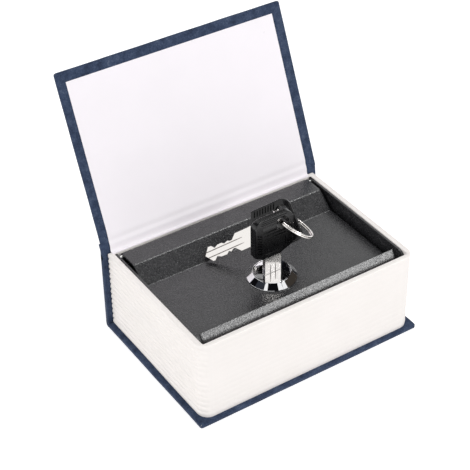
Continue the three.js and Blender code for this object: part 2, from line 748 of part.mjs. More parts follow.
function ringTube(firstHole, secondHole) {
  const chord = secondHole.clone().sub(firstHole);
  const middle = firstHole.clone().addScaledVector(chord, 0.5);
  const along = chord.clone().normalize();
  const out = ringLean.clone().addScaledVector(along, -ringLean.dot(along)).normalize();
  const normal = along.clone().cross(out);
  const reach = Math.sqrt(Math.max(ringRadius ** 2 - chord.lengthSq() / 4, 0));
  const centre = middle.addScaledVector(out, reach);
  const halfStep = ringStepAngle / 2;
  const points = [];
  const sections = [];
  const stepDegrees = 360 / ringStepsPerTurn;
  for (let a = halfStep; a <= 720 - halfStep + 1e-6; a += stepDegrees) {
    const through = THREE.MathUtils.clamp((a - (360 - halfStep)) / ringStepAngle, 0, 1);
    const rise = ringPitch * (THREE.MathUtils.smoothstep(through, 0, 1) - 0.5);
    const radial = out.clone().multiplyScalar(-Math.cos(a * degrees))
      .addScaledVector(along, Math.sin(a * degrees));
    const point = centre.clone().addScaledVector(radial, ringRadius).addScaledVector(normal, rise);
    points.push(point);
    const section = [];
    for (let s = 0; s < ringSides; s++) {
      const b = ((s + 0.5) / ringSides) * 2 * Math.PI;
      section.push(point.clone().addScaledVector(radial, Math.cos(b) * ringWire / 2)
        .addScaledVector(normal, Math.sin(b) * ringWire / 2));
    }
    sections.push(section);
  }
  console.log("split ring's least gap to itself: " + leastGap(points).toFixed(2) + " mm");
  return tubeGeometry(sections);
}

// The least distance between two turns of the wire, less its thickness.
function leastGap(points) {
  let least = Infinity;
  points.forEach((p, i) => {
    for (let j = i + ringStepsPerTurn / 2; j < points.length; j++) {
      least = Math.min(least, p.distanceTo(points[j]));
    }
  });
  return least - ringWire;
}

function tubeGeometry(sections) {
  const positions = [];
  const push = (...points) => points.forEach((p) => positions.push(p.x, p.y, p.z));
  const sides = sections[0].length;
  for (let k = 0; k + 1 < sections.length; k++) {
    for (let s = 0; s < sides; s++) {
      const t = (s + 1) % sides;
      const [a, b, c, d] = [sections[k][s], sections[k][t], sections[k + 1][t], sections[k + 1][s]];
      push(a, c, b, a, d, c);
    }
  }
  const last = sections[sections.length - 1];
  for (let s = 1; s + 1 < sides; s++) {
    push(sections[0][0], sections[0][s], sections[0][s + 1]);
    push(last[0], last[s + 1], last[s]);
  }
  const geometry = new THREE.BufferGeometry();
  geometry.setAttribute("position", new THREE.Float32BufferAttribute(positions, 3));
  return geometry;
}

// Assembly

addBackCover();
addSpine();
addFrontCover();
addPaperTab();
addPageBlock();
addBox();
addCatch();

const lid = new THREE.Group();
addLid(lid);
addBarrel(lid);
addLockNut(lid);
const turning = new THREE.Group();
addPlug(turning);
addCam(turning);
lid.add(turning);

const keyOrigin = new THREE.Vector3(0, lockY, keyTipZ);
const keyAlong = new THREE.Vector3(0, 0, 1);
const keyAcross = new THREE.Vector3(1, 0, 0);
addKey(turning, "key_blade", "key_head", keyOrigin, keyAlong, keyAcross);
const [spareAlong, spareAcross] = spareAxes();
addKey(turning, "spare_blade", "spare_head", spareTip, spareAlong, spareAcross);
const holeOf = (origin, along, across) =>
  origin.clone().addScaledVector(along, holeU).addScaledVector(across, keyHoleOffset);
const firstHole = holeOf(keyOrigin, keyAlong, keyAcross);
const secondHole = holeOf(spareTip, spareAlong, spareAcross);
add("key_ring", solid(ringTube(firstHole, secondHole)), nickel, turning);
safe.add(lid);

export default safe;
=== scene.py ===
# Looks of a small book safe: cloth case, ridged page block, painted steel box with a key lock.
# Sizes are in millimetres in this script and become metres where a mesh is made.

import json
import math

import bmesh
import bpy
from mathutils import Matrix, Vector, noise


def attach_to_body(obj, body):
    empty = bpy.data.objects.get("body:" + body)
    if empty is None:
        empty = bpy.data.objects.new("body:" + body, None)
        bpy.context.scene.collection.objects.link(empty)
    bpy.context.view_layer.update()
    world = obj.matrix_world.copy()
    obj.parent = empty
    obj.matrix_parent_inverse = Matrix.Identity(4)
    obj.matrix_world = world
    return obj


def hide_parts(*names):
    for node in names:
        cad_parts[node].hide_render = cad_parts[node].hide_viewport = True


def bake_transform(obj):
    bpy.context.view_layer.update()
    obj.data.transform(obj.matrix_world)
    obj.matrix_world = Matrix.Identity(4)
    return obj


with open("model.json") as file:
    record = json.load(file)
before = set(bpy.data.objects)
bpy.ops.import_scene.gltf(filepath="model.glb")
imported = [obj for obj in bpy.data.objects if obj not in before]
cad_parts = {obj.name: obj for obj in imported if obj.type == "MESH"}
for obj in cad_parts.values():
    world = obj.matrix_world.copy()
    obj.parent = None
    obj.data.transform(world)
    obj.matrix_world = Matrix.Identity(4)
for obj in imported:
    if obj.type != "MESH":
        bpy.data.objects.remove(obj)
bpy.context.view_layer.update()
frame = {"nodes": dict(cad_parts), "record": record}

MM = 0.001
NODE_EDGE = 0.12
NODE_SHARP = 32

# Case
COVER_LENGTH = 118
COVER_WIDTH = 81.4
BACK_THICK = 2.5
CLOTH = 0.3
TURN_IN = 12
EDGE_ROUND = 0.75
CORNER_ROUND = 1.1
SPINE_FRONT = 39.4
SPINE_REAR = 41.9
SPINE_TOP = 42.0
HINGE_Y = 40.2
HINGE_Z = 43.5
COVER_SHIFT = 0.6
COVER_ANGLE = math.radians(66.6)
COVER_START = 1.6
COVER_END = 83.5
COVER_UNDER = -1.2
COVER_FACE = 0.95

# Rows of points in a cover's cloth: depths in from its edge, angles round it, and distances from a
# corner. MIDDLE_GAP is half the slit that is left open, and the edge sways down to SWAY_DEPTH.
TURNED_ROWS = (4.2, 3, 2, 1.3)
OUTSIDE_ROWS = (1.5, 3, 6, 12, 20, 28, 36)
EDGE_ANGLES = (0, 22, 45, 68, 90)
CORNER_POINTS = (0.15, 0.4, 0.8, 1.4, 2.2, 3.4, 5, 7, 10, 14)
CORNER_SHARE = 0.4
SIDE_STEPS = 16
MIDDLE_GAP = 0.4
SWAY_DEPTH = 2

# Mitre of the turned-in cloth: the overlap's height, and the depths and lengths it fades over
MITRE_LIFT = 0.26
MITRE_FROM = 0.5
MITRE_FADE_FROM = 0.4
MITRE_FADE = 0.8
MITRE_RUN = 7
SLIT_SHARE = 0.6
SLIT_RUN = 1.1

# Endpaper: RIM_PATH is its (y, height over the block) on the rear rim, and PAPER_LIFTS is how far
# it stands off the cover, as (distance from the hinge, lift)
PAPER = 0.25
PAPER_LEFT = -55
PAPER_RIGHT = 53.4
PAPER_TOP = 78.7
RIM_PATH = ((37.1, 0.16), (38.0, 0.14), (38.6, 0.2), (38.98, 0.45), (39.2, 0.95))
PAPER_LIFTS = ((1.9, 0.3), (2.6, 0.42), (3.3, 0.34), (4.0, 0.12), (4.7, 0.02), (5.4, 0.08),
               (6.2, 0.2), (7.2, 0.22), (8.4, 0.12), (10, 0.04), (13, 0.0))

# Page block: RIDGE_SHAPE is (share of the pitch, share of the depth)
PAGE_HALF = 56.8
PAGE_FRONT = -38.9
PAGE_REAR = 39.1
PAGE_BOTTOM = 2.5
PAGE_TOP = 43.28
PAGE_WALL = 2.6
PAGE_REAR_WALL = 1.9
PAGE_CORNER = 5.5
PAGE_REAR_CORNER = 0.5
PAGE_RIM = 0.45
RIDGES = 14
RIDGE_DEPTH = 0.45
RIDGE_SHAPE = ((0.0, 1.0), (0.12, 0.72), (0.26, 0.24), (0.42, 0.03), (0.6, 0.0), (0.76, 0.1),
               (0.9, 0.52))
FRONT_RIDGES = 0.15

# Paint: cells of its relief per metre, and its height
PAINT_FACETS = 2000
PAINT_SWELLS = 1300
PAINT_RELIEF = 0.09

# Lid
LID_HALF = 51.3
LID_SHEET = 1
LID_TOP = 43.18
PANEL_TOP = 36.48
SLOPE_TOP_Y = 25.5
SLOPE_FOOT_Y = 16.5
LIP_OUTER_Y = -35.05
LIP_ANGLE = math.radians(51)
LIP_LENGTH = 7.9
ROD_Y = 35.3
ROD_Z = 41.58
ROLL_RADIUS = 1.6
BEND_RADIUS = 1.3
FLAT_GUARD = 0.15

# Lock
LOCK_Y = -8.3
BEZEL_RADIUS = 11.45
BEZEL_EDGE = 0.4
BEZEL_HEIGHT = 2.7
BEZEL_RIM = 8.75
BEZEL_RIM_WIDTH = 0.4
BARREL_RADIUS = 8
BARREL_LENGTH = 20
BARREL_FLAT = 7
BARREL_BORE = 6.1
HOLE_EASE = 1.02
PLUG_STEP = 37.98
PLUG_SEAT = PLUG_STEP - 0.06
PLUG_FACE = 39.0
CAP_RADIUS = 8.28
THREAD_PITCH = 1
THREAD_DEPTH = 0.38
LATHE_SIDES = 128

# Keys: u from tip to head, v across, both in the key's own plane
KEY_TIP_Z = 24.98
KEY_THICK = 1.9
BLADE_HALF = 3.5
SHOULDER_START = 16.5
SEATED_SHOULDER = 14.05
SHOULDER_HALF = 4.4
UPPER_CUTS = ((2.7, 0), (4.2, 0.1), (5.4, 1.5), (7.2, 0.6), (9.2, 0.7), (10.3, 1.4),
              (12.1, 0.9), (13, 1.4), (14.2, 1.3))
LOWER_CUTS = ((2.7, 0), (3.6, 0), (5.2, 1.4), (7, 0.4), (9.7, 0.3), (11, 1.4), (11.9, 0.7),
              (13.3, 1.6), (14.2, 1.5))
GROOVE_OFFSET = 1.3
GROOVE_HALF = 0.2
GROOVE_DEPTH = 0.5
GROOVE_END = 19
HEAD_START = 24.1
HEAD_END = 45.2
HEAD_HALF = 10.1
HEAD_THICK = 4.4
HEAD_HIGH_FLAT = 2.5
HEAD_HIGH_SLANT = 3.2
HEAD_LOW_FLAT = 6.2
HEAD_LOW_SLANT = 2.2
HEAD_CORNER = 4
TAPER_RUN = 2.6
TAPER_DEPTH = 0.87
HOLE_U = 40.5
HOLE_V = 4
HOLE_RADIUS = 3
SPARE_TIP = Vector((-18.4, 17.4, 38.7))
SPARE_HEADING = math.radians(-28.7)
SPARE_RISE = math.radians(25.7)
SPARE_ROLL = math.radians(46.8)

# Relief of a head: the lit slot, (u, far end) of each groove under it, the bare panel, the grip
# strokes on both flanks, and the grooves round the far end
LIT_SLOT_FROM = 39.9
LIT_SLOT_TO = 41.45
LIT_SLOT_DEPTH = 0.65
FACE_GROOVES = ((38.6, 0.9), (36.9, 5.8), (35.3, 5.8))
FACE_GROOVE_HALF = 0.42
FACE_GROOVE_DEPTH = 0.55
BARE_PANEL = (26.3, 34.1, -5.4, 6)
BARE_PANEL_DEPTH = 0.4
GRIP_STROKES = 8
GRIP_START = 27.6
GRIP_PITCH = 1.35
GRIP_WIDTH = 0.6
GRIP_SLANT = 1.1
GRIP_FROM = 6.7
GRIP_TO = 9.2
GRIP_DEPTH = 1.2
RIB_GROOVES = (-0.68, 0, 0.68)
RIB_PITCH = 0.72
RIB_HALF = 0.13

# Split ring
RING_RADIUS = 10.15
RING_WIRE = 0.8
RING_PITCH = 0.84
RING_STEP_ANGLE = 60
RING_LEAN = Vector((0.515, -0.724, -0.46))
RING_STEPS = 220
RING_SIDES = 14

# Camera, solved from the object's corners: degrees, millimetres, and the focal length in pixels
CAMERA_AZIMUTH = -33.097
CAMERA_ELEVATION = 37.292
CAMERA_ROLL = -0.749
CAMERA_DISTANCE = 660.518
CAMERA_RIGHT = -12.205
CAMERA_UP = 42.955
FOCAL = 1418.438
IMAGE = 470
SENSOR = 36

# Lights: name, azimuth, elevation, distance, width and height in metres, power, seen by mirrors
LIGHTS = (("key", -58, 28, 0.85, 0.62, 0.17, 2.9, True),
          ("fill", -167, 28, 0.9, 1.5, 1.05, 6.3, False),
          ("top", 8, 65, 0.9, 0.24, 0.12, 1.3, True))

# Cards: name, azimuth, elevation, width and height in degrees from the lock, metres away, colour
BLACK = (0.004, 0.004, 0.005)
CARDS = (("card_left", 137, 35, 26, 30, 0.6, BLACK),
         ("card_front_left", 166, 49, 30, 26, 0.6, (0.03, 0.034, 0.043)),
         ("card_camera", -117, 54, 33, 36, 0.6, BLACK),
         ("card_right", -8, 24, 56, 52, 0.6, (0.045, 0.038, 0.032)),
         ("card_slope", -45, 60, 24, 17, 0.6, BLACK),
         ("card_disc", 55, 39, 13, 8.5, 0.2, BLACK))

# Floor and room
FLOOR_SIZE = 6
FLOOR_DROP = 0.0002
FLOOR_COLOR = (0.82, 0.82, 0.83)
FLOOR_GLOW = 0.62
ROOM_COLOR = (0.97, 0.98, 1)
ROOM_LIGHT = 0.4


# Mesh helpers

def make(name, verts, faces, material, sharp=35):
    """An object from points in millimetres, with creases where faces meet at more than sharp."""
    mesh = bpy.data.meshes.new(name)
    mesh.from_pydata([(x * MM, y * MM, z * MM) for x, y, z in verts], [], faces)
    work = bmesh.new()
    work.from_mesh(mesh)
    bmesh.ops.remove_doubles(work, verts=work.verts, dist=2e-6)
    bmesh.ops.recalc_face_normals(work, faces=work.faces)
    work.to_mesh(mesh)
    work.free()
    mesh.materials.append(material)
    shade(mesh, sharp)
    obj = bpy.data.objects.new(name, mesh)
    bpy.context.scene.collection.objects.link(obj)
    return obj


def shade(mesh, sharp):
    for face in mesh.polygons:
        face.use_smooth = True
    mesh.set_sharp_from_angle(angle=math.radians(sharp))


def attach(obj, body, slot, *nodes):
    """The piece rides on a body, and stands for the nodes that are named."""
    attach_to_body(obj, body)
    if nodes:
        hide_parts(*nodes)


def loft(rings, loop=False):
    """Points and faces of a skin over rings of points, with end caps unless it is a loop."""
    count = len(rings[0])
    verts = [p for ring in rings for p in ring]
    faces = []
    last = len(rings) if loop else len(rings) - 1
    for k in range(last):
        a = k * count
        b = ((k + 1) % len(rings)) * count
        for i in range(count):
            j = (i + 1) % count
            faces.append((a + i, a + j, b + j, b + i))
    if not loop:
        faces.append(tuple(range(count))[::-1])
        faces.append(tuple(range(len(verts) - count, len(verts))))
    return verts, faces


def spread(start, end, count):
    """Values from start to end, in count equal steps."""
    return [start + (end - start) * i / count for i in range(count + 1)]


def cosd(angle):
    return math.cos(math.radians(angle))


def sind(angle):
    return math.sin(math.radians(angle))


def arc(centre, radius, start, end, steps):
    return [(centre[0] + radius * cosd(a), centre[1] + radius * sind(a)) for a in spread(start, end, steps)]


def rounded_path(points, radius, steps=6):
    """The 2D polyline with its inner corners rounded, and a guard point on each flat beside them."""
    path = [Vector(points[0])]
    for before, corner, after in zip(points, points[1:], points[2:]):
        a = (Vector(before) - Vector(corner)).normalized()
        b = (Vector(after) - Vector(corner)).normalized()
        half = a.angle(b) / 2
        reach = radius / math.tan(half)
        centre = Vector(corner) + (a + b).normalized() * (radius / math.sin(half))
        start = Vector(corner) + a * reach - centre
        end = Vector(corner) + b * reach - centre
        turn = start.angle_signed(end)
        path.append(Vector(corner) + a * (reach + FLAT_GUARD))
        for t in spread(0, 1, steps):
            spoke = start.copy()
            spoke.rotate(Matrix.Rotation(-turn * t, 2))
            path.append(centre + spoke)
        path.append(Vector(corner) + b * (reach + FLAT_GUARD))
    path.append(Vector(points[-1]))
    return path


def path_normals(path):
    normals = []
    for i in range(len(path)):
        along = (path[min(i + 1, len(path) - 1)] - path[max(i - 1, 0)]).normalized()
        normals.append(Vector((-along.y, along.x)))
    return normals


def wobble(x, y, z, scale, amount):
    """A smooth unevenness of that scale, up to about that amount."""
    return amount * noise.noise(Vector((x / scale, y / scale, z / scale)))


def bevel(obj, width, segments=2, angle=35):
    step = obj.modifiers.new("edge", "BEVEL")
    step.width = width * MM
    step.segments = segments
    step.limit_method = "ANGLE"
    step.angle_limit = math.radians(angle)


def apply_modifiers(obj, sharp=14):
    """Turns what the modifiers make into the object's own mesh."""
    graph = bpy.context.evaluated_depsgraph_get()
    graph.update()
    mesh = bpy.data.meshes.new_from_object(obj.evaluated_get(graph))
    obj.modifiers.clear()
    obj.data = mesh
    shade(mesh, sharp)


def cut(obj, cutters, sharp=14):
    """Takes the cutters out of the object, and removes them."""
    for cutter in cutters:
        step = obj.modifiers.new("cut", "BOOLEAN")
        step.object = cutter
        step.operation = "DIFFERENCE"
        step.solver = "EXACT"
    apply_modifiers(obj, sharp)
    for cutter in cutters:
        bpy.data.objects.remove(cutter)


# Materials

class Finish:
    """A material under construction: its Principled shader and a short way to add nodes."""

    def __init__(self, name, color, roughness, metallic=0.0):
        self.material = bpy.data.materials.new(name)
        self.material.use_nodes = True
        self.tree = self.material.node_tree
        self.shader = self.tree.nodes["Principled BSDF"]
        self.set("Base Color", (*color, 1))
        self.set("Roughness", roughness)
        self.set("Metallic", metallic)
        self.coords = self.node("ShaderNodeTexCoord").outputs["Object"]

    def node(self, kind, inputs=(), **settings):
        made = self.tree.nodes.new(kind)
        for key, value in settings.items():
            setattr(made, key, value)
        for key, value in dict(inputs).items():
            if isinstance(value, bpy.types.NodeSocket):
                self.tree.links.new(value, made.inputs[key])
            else:
                made.inputs[key].default_value = value
        return made

    def stretched(self, scale):
        return self.node("ShaderNodeMapping", {"Vector": self.coords, "Scale": scale}).outputs["Vector"]

    def noise(self, scale, detail=3, vector=None, roughness=0.5, distortion=0.0):
        return self.node("ShaderNodeTexNoise", {
            "Vector": vector or self.coords, "Scale": scale, "Detail": detail,
            "Roughness": roughness, "Distortion": distortion}).outputs["Fac"]

    def cells(self, scale):
        return self.node("ShaderNodeTexVoronoi", {"Vector": self.coords, "Scale": scale},
                         feature="SMOOTH_F1").outputs["Distance"]

    def threads(self, scale, axis):
        return self.node("ShaderNodeTexWave", {
            "Vector": self.coords, "Scale": scale, "Distortion": 1.2,
            "Detail": 1.0, "Detail Scale": 1.5}, bands_direction=axis).outputs["Fac"]

    def math(self, operation, a, b=0.0):
        return self.node("ShaderNodeMath", {0: a, 1: b}, operation=operation).outputs[0]

    def remap(self, value, low, high, out_low, out_high):
        return self.node("ShaderNodeMapRange", {
            "Value": value, "From Min": low, "From Max": high,
            "To Min": out_low, "To Max": out_high}).outputs["Result"]

    def ramp(self, value, stops):
        made = self.node("ShaderNodeValToRGB", {"Fac": value})
        elements = made.color_ramp.elements
        while len(elements) < len(stops):
            elements.new(0.5)
        for element, (position, color) in zip(elements, stops):
            element.position = position
            element.color = (*color, 1)
        return made.outputs["Color"]

    def set(self, name, value):
        self.shader.inputs[name].default_value = value

    def color(self, socket):
        self.tree.links.new(socket, self.shader.inputs["Base Color"])

    def roughness(self, socket):
        self.tree.links.new(socket, self.shader.inputs["Roughness"])

    def bump(self, height, distance, strength=1.0):
        made = self.node("ShaderNodeBump", {
            "Height": height, "Strength": strength, "Distance": distance * MM})
        self.tree.links.new(made.outputs["Normal"], self.shader.inputs["Normal"])


def bookcloth_finish():
    f = Finish("bookcloth", (0.035, 0.055, 0.125), 0.75)
    patches = f.noise(260, 5, roughness=0.6)
    specks = f.noise(1500, 2)
    mixed = f.math("ADD", f.math("MULTIPLY", patches, 0.65), f.math("MULTIPLY", specks, 0.35))
    f.color(f.ramp(mixed, [
        (0.34, (0.014, 0.023, 0.050)), (0.47, (0.027, 0.043, 0.085)),
        (0.57, (0.042, 0.062, 0.113)), (0.72, (0.085, 0.111, 0.168))]))
    warp = f.threads(560, "X")
    weft = f.threads(600, "Y")
    weave = f.math("MAXIMUM", warp, weft)
    height = f.math("ADD", f.math("MULTIPLY", weave, 0.5), f.math("MULTIPLY", specks, 0.9))
    f.bump(height, 0.07, 0.7)
    f.set("Sheen Weight", 0.05)
    f.set("Sheen Roughness", 0.5)
    f.set("Specular IOR Level", 0.2)
    return f.material


def paper_finish():
    f = Finish("endpaper", (0.91, 0.868, 0.9), 0.6)
    tone = f.noise(45)
    f.color(f.ramp(tone, [(0.3, (0.9, 0.859, 0.89)), (0.7, (0.92, 0.877, 0.91))]))
    fibres = f.noise(2600, 2, vector=f.stretched((1, 0.35, 0.35)))
    f.bump(fibres, 0.015, 0.4)
    f.roughness(f.remap(fibres, 0.3, 0.7, 0.55, 0.68))
    return f.material


def page_finish():
    f = Finish("page_plastic", (0.92, 0.88, 0.84), 0.42)
    tone = f.noise(60, 4)
    f.color(f.ramp(tone, [(0.3, (0.89, 0.848, 0.812)), (0.7, (0.915, 0.872, 0.838))]))
    sheets = f.noise(900, 2, vector=f.stretched((0.02, 0.02, 1)))
    grain = f.noise(1800, 2)
    f.bump(f.math("ADD", sheets, f.math("MULTIPLY", grain, 0.3)), 0.05, 0.5)
    f.roughness(f.remap(grain, 0.3, 0.7, 0.38, 0.5))
    return f.material


def hammered_finish():
    """Near-black gloss paint whose small hammered facets each mirror another part of the room."""
    f = Finish("hammered_paint", (0.02, 0.02, 0.022), 0.24)
    tone = f.noise(240)
    f.color(f.ramp(tone, [(0.35, (0.017, 0.017, 0.019)), (0.65, (0.026, 0.026, 0.028))]))
    facets = f.cells(PAINT_FACETS)
    swells = f.noise(PAINT_SWELLS, 2, distortion=0.4)
    height = f.math("ADD", f.math("MULTIPLY", facets, 0.7), f.math("MULTIPLY", swells, 0.8))
    f.bump(height, PAINT_RELIEF)
    f.roughness(f.remap(swells, 0.35, 0.65, 0.2, 0.3))
    f.set("Specular IOR Level", 0.8)
    return f.material


def chrome_finish():
    f = Finish("chrome", (0.86, 0.86, 0.87), 0.05, 1.0)
    haze = f.noise(420, 4)
    f.roughness(f.remap(haze, 0.35, 0.7, 0.02, 0.06))
    f.bump(f.noise(2000, 2), 0.002, 0.2)
    return f.material


def nickel_finish():
    f = Finish("key_nickel", (0.9, 0.87, 0.84), 0.1, 1.0)
    scratches = f.noise(1400, vector=f.stretched((0.25, 1, 0.25)))
    f.roughness(f.remap(scratches, 0.3, 0.7, 0.07, 0.15))
    f.bump(scratches, 0.006, 0.4)
    return f.material


def groove_shade_finish():
    """Dull nickel at the bottom of the milled grooves, coloured dark brown as painted shade."""
    f = Finish("groove_shaded_nickel", (0.16, 0.12, 0.1), 0.35, 1.0)
    groove_shade_tone = f.noise(900)
    # painted shade: the groove bottoms are dark brown, varying at random from darker to paler
    f.color(f.ramp(groove_shade_tone, [(0.35, (0.16, 0.13, 0.12)), (0.65, (0.5, 0.44, 0.41))]))
    f.roughness(f.remap(groove_shade_tone, 0.3, 0.7, 0.28, 0.45))
    return f.material


def black_plastic_finish():
    f = Finish("key_plastic", (0.003, 0.003, 0.0035), 0.25)
    grain = f.noise(2400)
    f.roughness(f.remap(grain, 0.3, 0.7, 0.2, 0.3))
    f.bump(grain, 0.01, 0.4)
    f.color(f.ramp(f.noise(300, 2), [(0.3, (0.002, 0.002, 0.0025)), (0.7, (0.005, 0.005, 0.0055))]))
    return f.material


def zinc_finish():
    f = Finish("zinc_steel", (0.6, 0.6, 0.59), 0.34, 1.0)
    spangle = f.noise(260, 5)
    f.color(f.ramp(spangle, [(0.3, (0.5, 0.5, 0.49)), (0.7, (0.68, 0.68, 0.66))]))
    f.roughness(f.remap(spangle, 0.3, 0.7, 0.26, 0.44))
    f.bump(f.noise(1600, 2), 0.015, 0.4)
    return f.material


def brass_finish():
    f = Finish("wafer_brass", (0.72, 0.55, 0.27), 0.3, 1.0)
    tarnish = f.noise(500, 4)
    f.color(f.ramp(tarnish, [(0.3, (0.6, 0.44, 0.2)), (0.7, (0.78, 0.61, 0.32))]))
    f.roughness(f.remap(tarnish, 0.3, 0.7, 0.22, 0.4))
    return f.material


def board_finish():
    f = Finish("grey_board", (0.4, 0.38, 0.35), 0.9)
    fibres = f.noise(1200, 5)
    f.color(f.ramp(fibres, [(0.3, (0.32, 0.3, 0.27)), (0.7, (0.46, 0.44, 0.41))]))
    f.bump(fibres, 0.06, 0.6)
    return f.material


finishes = {
    "bookcloth": bookcloth_finish(),
    "endpaper": paper_finish(),
    "page_plastic": page_finish(),
    "hammered_paint": hammered_finish(),
    "chrome": chrome_finish(),
    "key_nickel": nickel_finish(),
    "groove_shaded_nickel": groove_shade_finish(),
    "key_plastic": black_plastic_finish(),
    "zinc_steel": zinc_finish(),
    "wafer_brass": brass_finish(),
    "grey_board": board_finish(),
}


def dress_nodes():
    """Gives each CAD node its finish, and takes the sharpness off its edges."""
    for entry in frame["record"]["subparts"]:
        node = frame["nodes"][entry["node"]]
        node.data.materials.clear()
        node.data.materials.append(finishes[entry["material_slot"]])
        bevel(node, NODE_EDGE)
        shade(node.data, NODE_SHARP)


# Cloth case

def outline(x0, x1, y0, y1, depth):
    """A rectangle's outline drawn in by depth: each point, its side, and its distance along it, or
    -1 on a corner's round. Near a corner the points keep their distance from it, so the lines
    between two outlines run along the corner's mitre."""
    radius = max(CORNER_ROUND - depth, 0.05)
    corners = [(x0 + depth, y0 + depth, 180), (x1 - depth, y0 + depth, 270),
               (x1 - depth, y1 - depth, 0), (x0 + depth, y1 - depth, 90)]
    inwards = [(1, 1), (-1, 1), (-1, -1), (1, -1)]
    points = []
    for side, (cx, cy, start) in enumerate(corners):
        centre = (cx + radius * inwards[side][0], cy + radius * inwards[side][1])
        points += [(p, side, -1) for p in arc(centre, radius, start, start + 90, 4)]
        nx, ny, _ = corners[(side + 1) % 4]
        length = abs(nx - cx) + abs(ny - cy)
        dx, dy = (nx - cx) / length, (ny - cy) / length
        room = length - 2 * radius
        close = [o * min(1, CORNER_SHARE * room / CORNER_POINTS[-1]) for o in CORNER_POINTS]
        middle = spread(close[-1], room - close[-1], SIDE_STEPS)
        along = [radius + o for o in close] + [radius + m for m in middle[1:-1]]
        along += [length - radius - o for o in reversed(close)]
        points += [((cx + dx * a, cy + dy * a), side, a) for a in along]
    return points


def mitre_height(side, along, length, depth):
    """Side strips lie over the end strips at the two far corners, with an open slit beside them."""
    if depth < MITRE_FROM or along < 0:
        return 0.0
    fade = min(1.0, (depth - MITRE_FADE_FROM) / MITRE_FADE)
    if side in (1, 3):
        reach = length - along if side == 1 else along
        return fade * MITRE_LIFT * math.exp(-max(reach - 0.3, 0) / MITRE_RUN)
    if side == 2:
        reach = min(along, length - along)
        return -fade * MITRE_LIFT * SLIT_SHARE * math.exp(-reach / SLIT_RUN)
    return 0.0


def cloth_rows(under, face, half):
    """(depth, z) of each row of the cloth: its inner side, the turn-in, the edge and the outside."""
    r = min(EDGE_ROUND, (face - under) / 2)
    turn = min(TURN_IN, half - MIDDLE_GAP)
    rows = [(half - MIDDLE_GAP, under + CLOTH), (CLOTH, under + CLOTH), (CLOTH, face - CLOTH),
            (turn, face - CLOTH)]
    rows += [(d, face) for d in (turn, turn * 0.7, turn * 0.5, *TURNED_ROWS) if r < d <= turn]
    rows += [(r - r * sind(a), face - r + r * cosd(a)) for a in EDGE_ANGLES]
    rows += [(r - r * cosd(a), under + r - r * sind(a)) for a in EDGE_ANGLES]
    rows += [(d, under) for d in OUTSIDE_ROWS if r < d < half - MIDDLE_GAP - 0.1]
    rows.append((half - MIDDLE_GAP, under))
    return rows


def wrapped(name, x0, x1, y0, y1, under, face, mitred=False):
    """Cloth wrapped round a board: it covers the outside and turns in over the edges."""
    cx, cy = (x0 + x1) / 2, (y0 + y1) / 2
    rings = []
    for depth, z in cloth_rows(under, face, (y1 - y0) / 2):
        lengths = (x1 - x0 - 2 * depth, y1 - y0 - 2 * depth)
        ring = []
        for (x, y), side, along in outline(x0, x1, y0, y1, depth):
            lift = 0.0
            if z > face - CLOTH - 0.01:
                lift = wobble(x, y, 3, scale=9, amount=0.05)
                if mitred:
                    lift += mitre_height(side, along, lengths[side % 2], depth)
            sway = 0.0
            if depth < SWAY_DEPTH:
                sway = wobble(x, y, 7, scale=16, amount=0.16) * (1 - depth / SWAY_DEPTH)
            out = Vector((x - cx, 0)) if side % 2 else Vector((0, y - cy))
            out.normalize()
            ring.append((x + out.x * sway, y + out.y * sway, z + lift))
        rings.append(ring)
    return make(name, *loft(rings), finishes["bookcloth"], sharp=60)


def on_cover(x, y, z):
    """A point of the cover's own frame, in the part's frame, in millimetres."""
    s, c = math.sin(COVER_ANGLE), math.cos(COVER_ANGLE)
    return (COVER_SHIFT + x, HINGE_Y + y * c - z * s, HINGE_Z + y * s + z * c)


def build_covers():
    half = COVER_LENGTH / 2
    front = wrapped("front_cover_cloth", -half, half, COVER_START, COVER_END,
                    COVER_UNDER, COVER_FACE, mitred=True)
    front.matrix_world = (Matrix.Translation(Vector((COVER_SHIFT, HINGE_Y, HINGE_Z)) * MM)
                          @ Matrix.Rotation(COVER_ANGLE, 4, "X"))
    attach(front, "cover", "bookcloth", "front_cloth")
    back = wrapped("back_cover_cloth", -half, half, -COVER_WIDTH / 2, COVER_WIDTH / 2, 0, BACK_THICK)
    attach(back, "case", "bookcloth", "back_cloth")


def drawn_in(point, other, draw):
    """The point, moved by draw towards the one on the strip's other side."""
    across = Vector(other) - Vector(point)
    return Vector(point) + across.normalized() * min(draw, across.length / 2.2)


def cloth_strip(name, sections):
    """A solid strip along X whose sections are (outer, inner) pairs of (y, z), rounded at its ends."""
    half = COVER_LENGTH / 2
    insets = [(0.0, 0.3), (0.12, 0.12), (0.3, 0.0)]
    stations = [(-half + d, draw) for d, draw in insets]
    stations += [(x, 0.0) for x in spread(-half + 4, half - 4, 40)]
    stations += [(half - d, draw) for d, draw in reversed(insets)]
    rings = []
    for x, draw in stations:
        outer = [drawn_in(o, i, draw) for o, i in sections]
        inner = [drawn_in(i, o, draw) for o, i in sections]
        rings.append([(x, y + wobble(x, y, z, scale=12, amount=0.04), z)
                      for y, z in outer + inner[::-1]])
    return make(name, *loft(rings), finishes["bookcloth"], sharp=60)


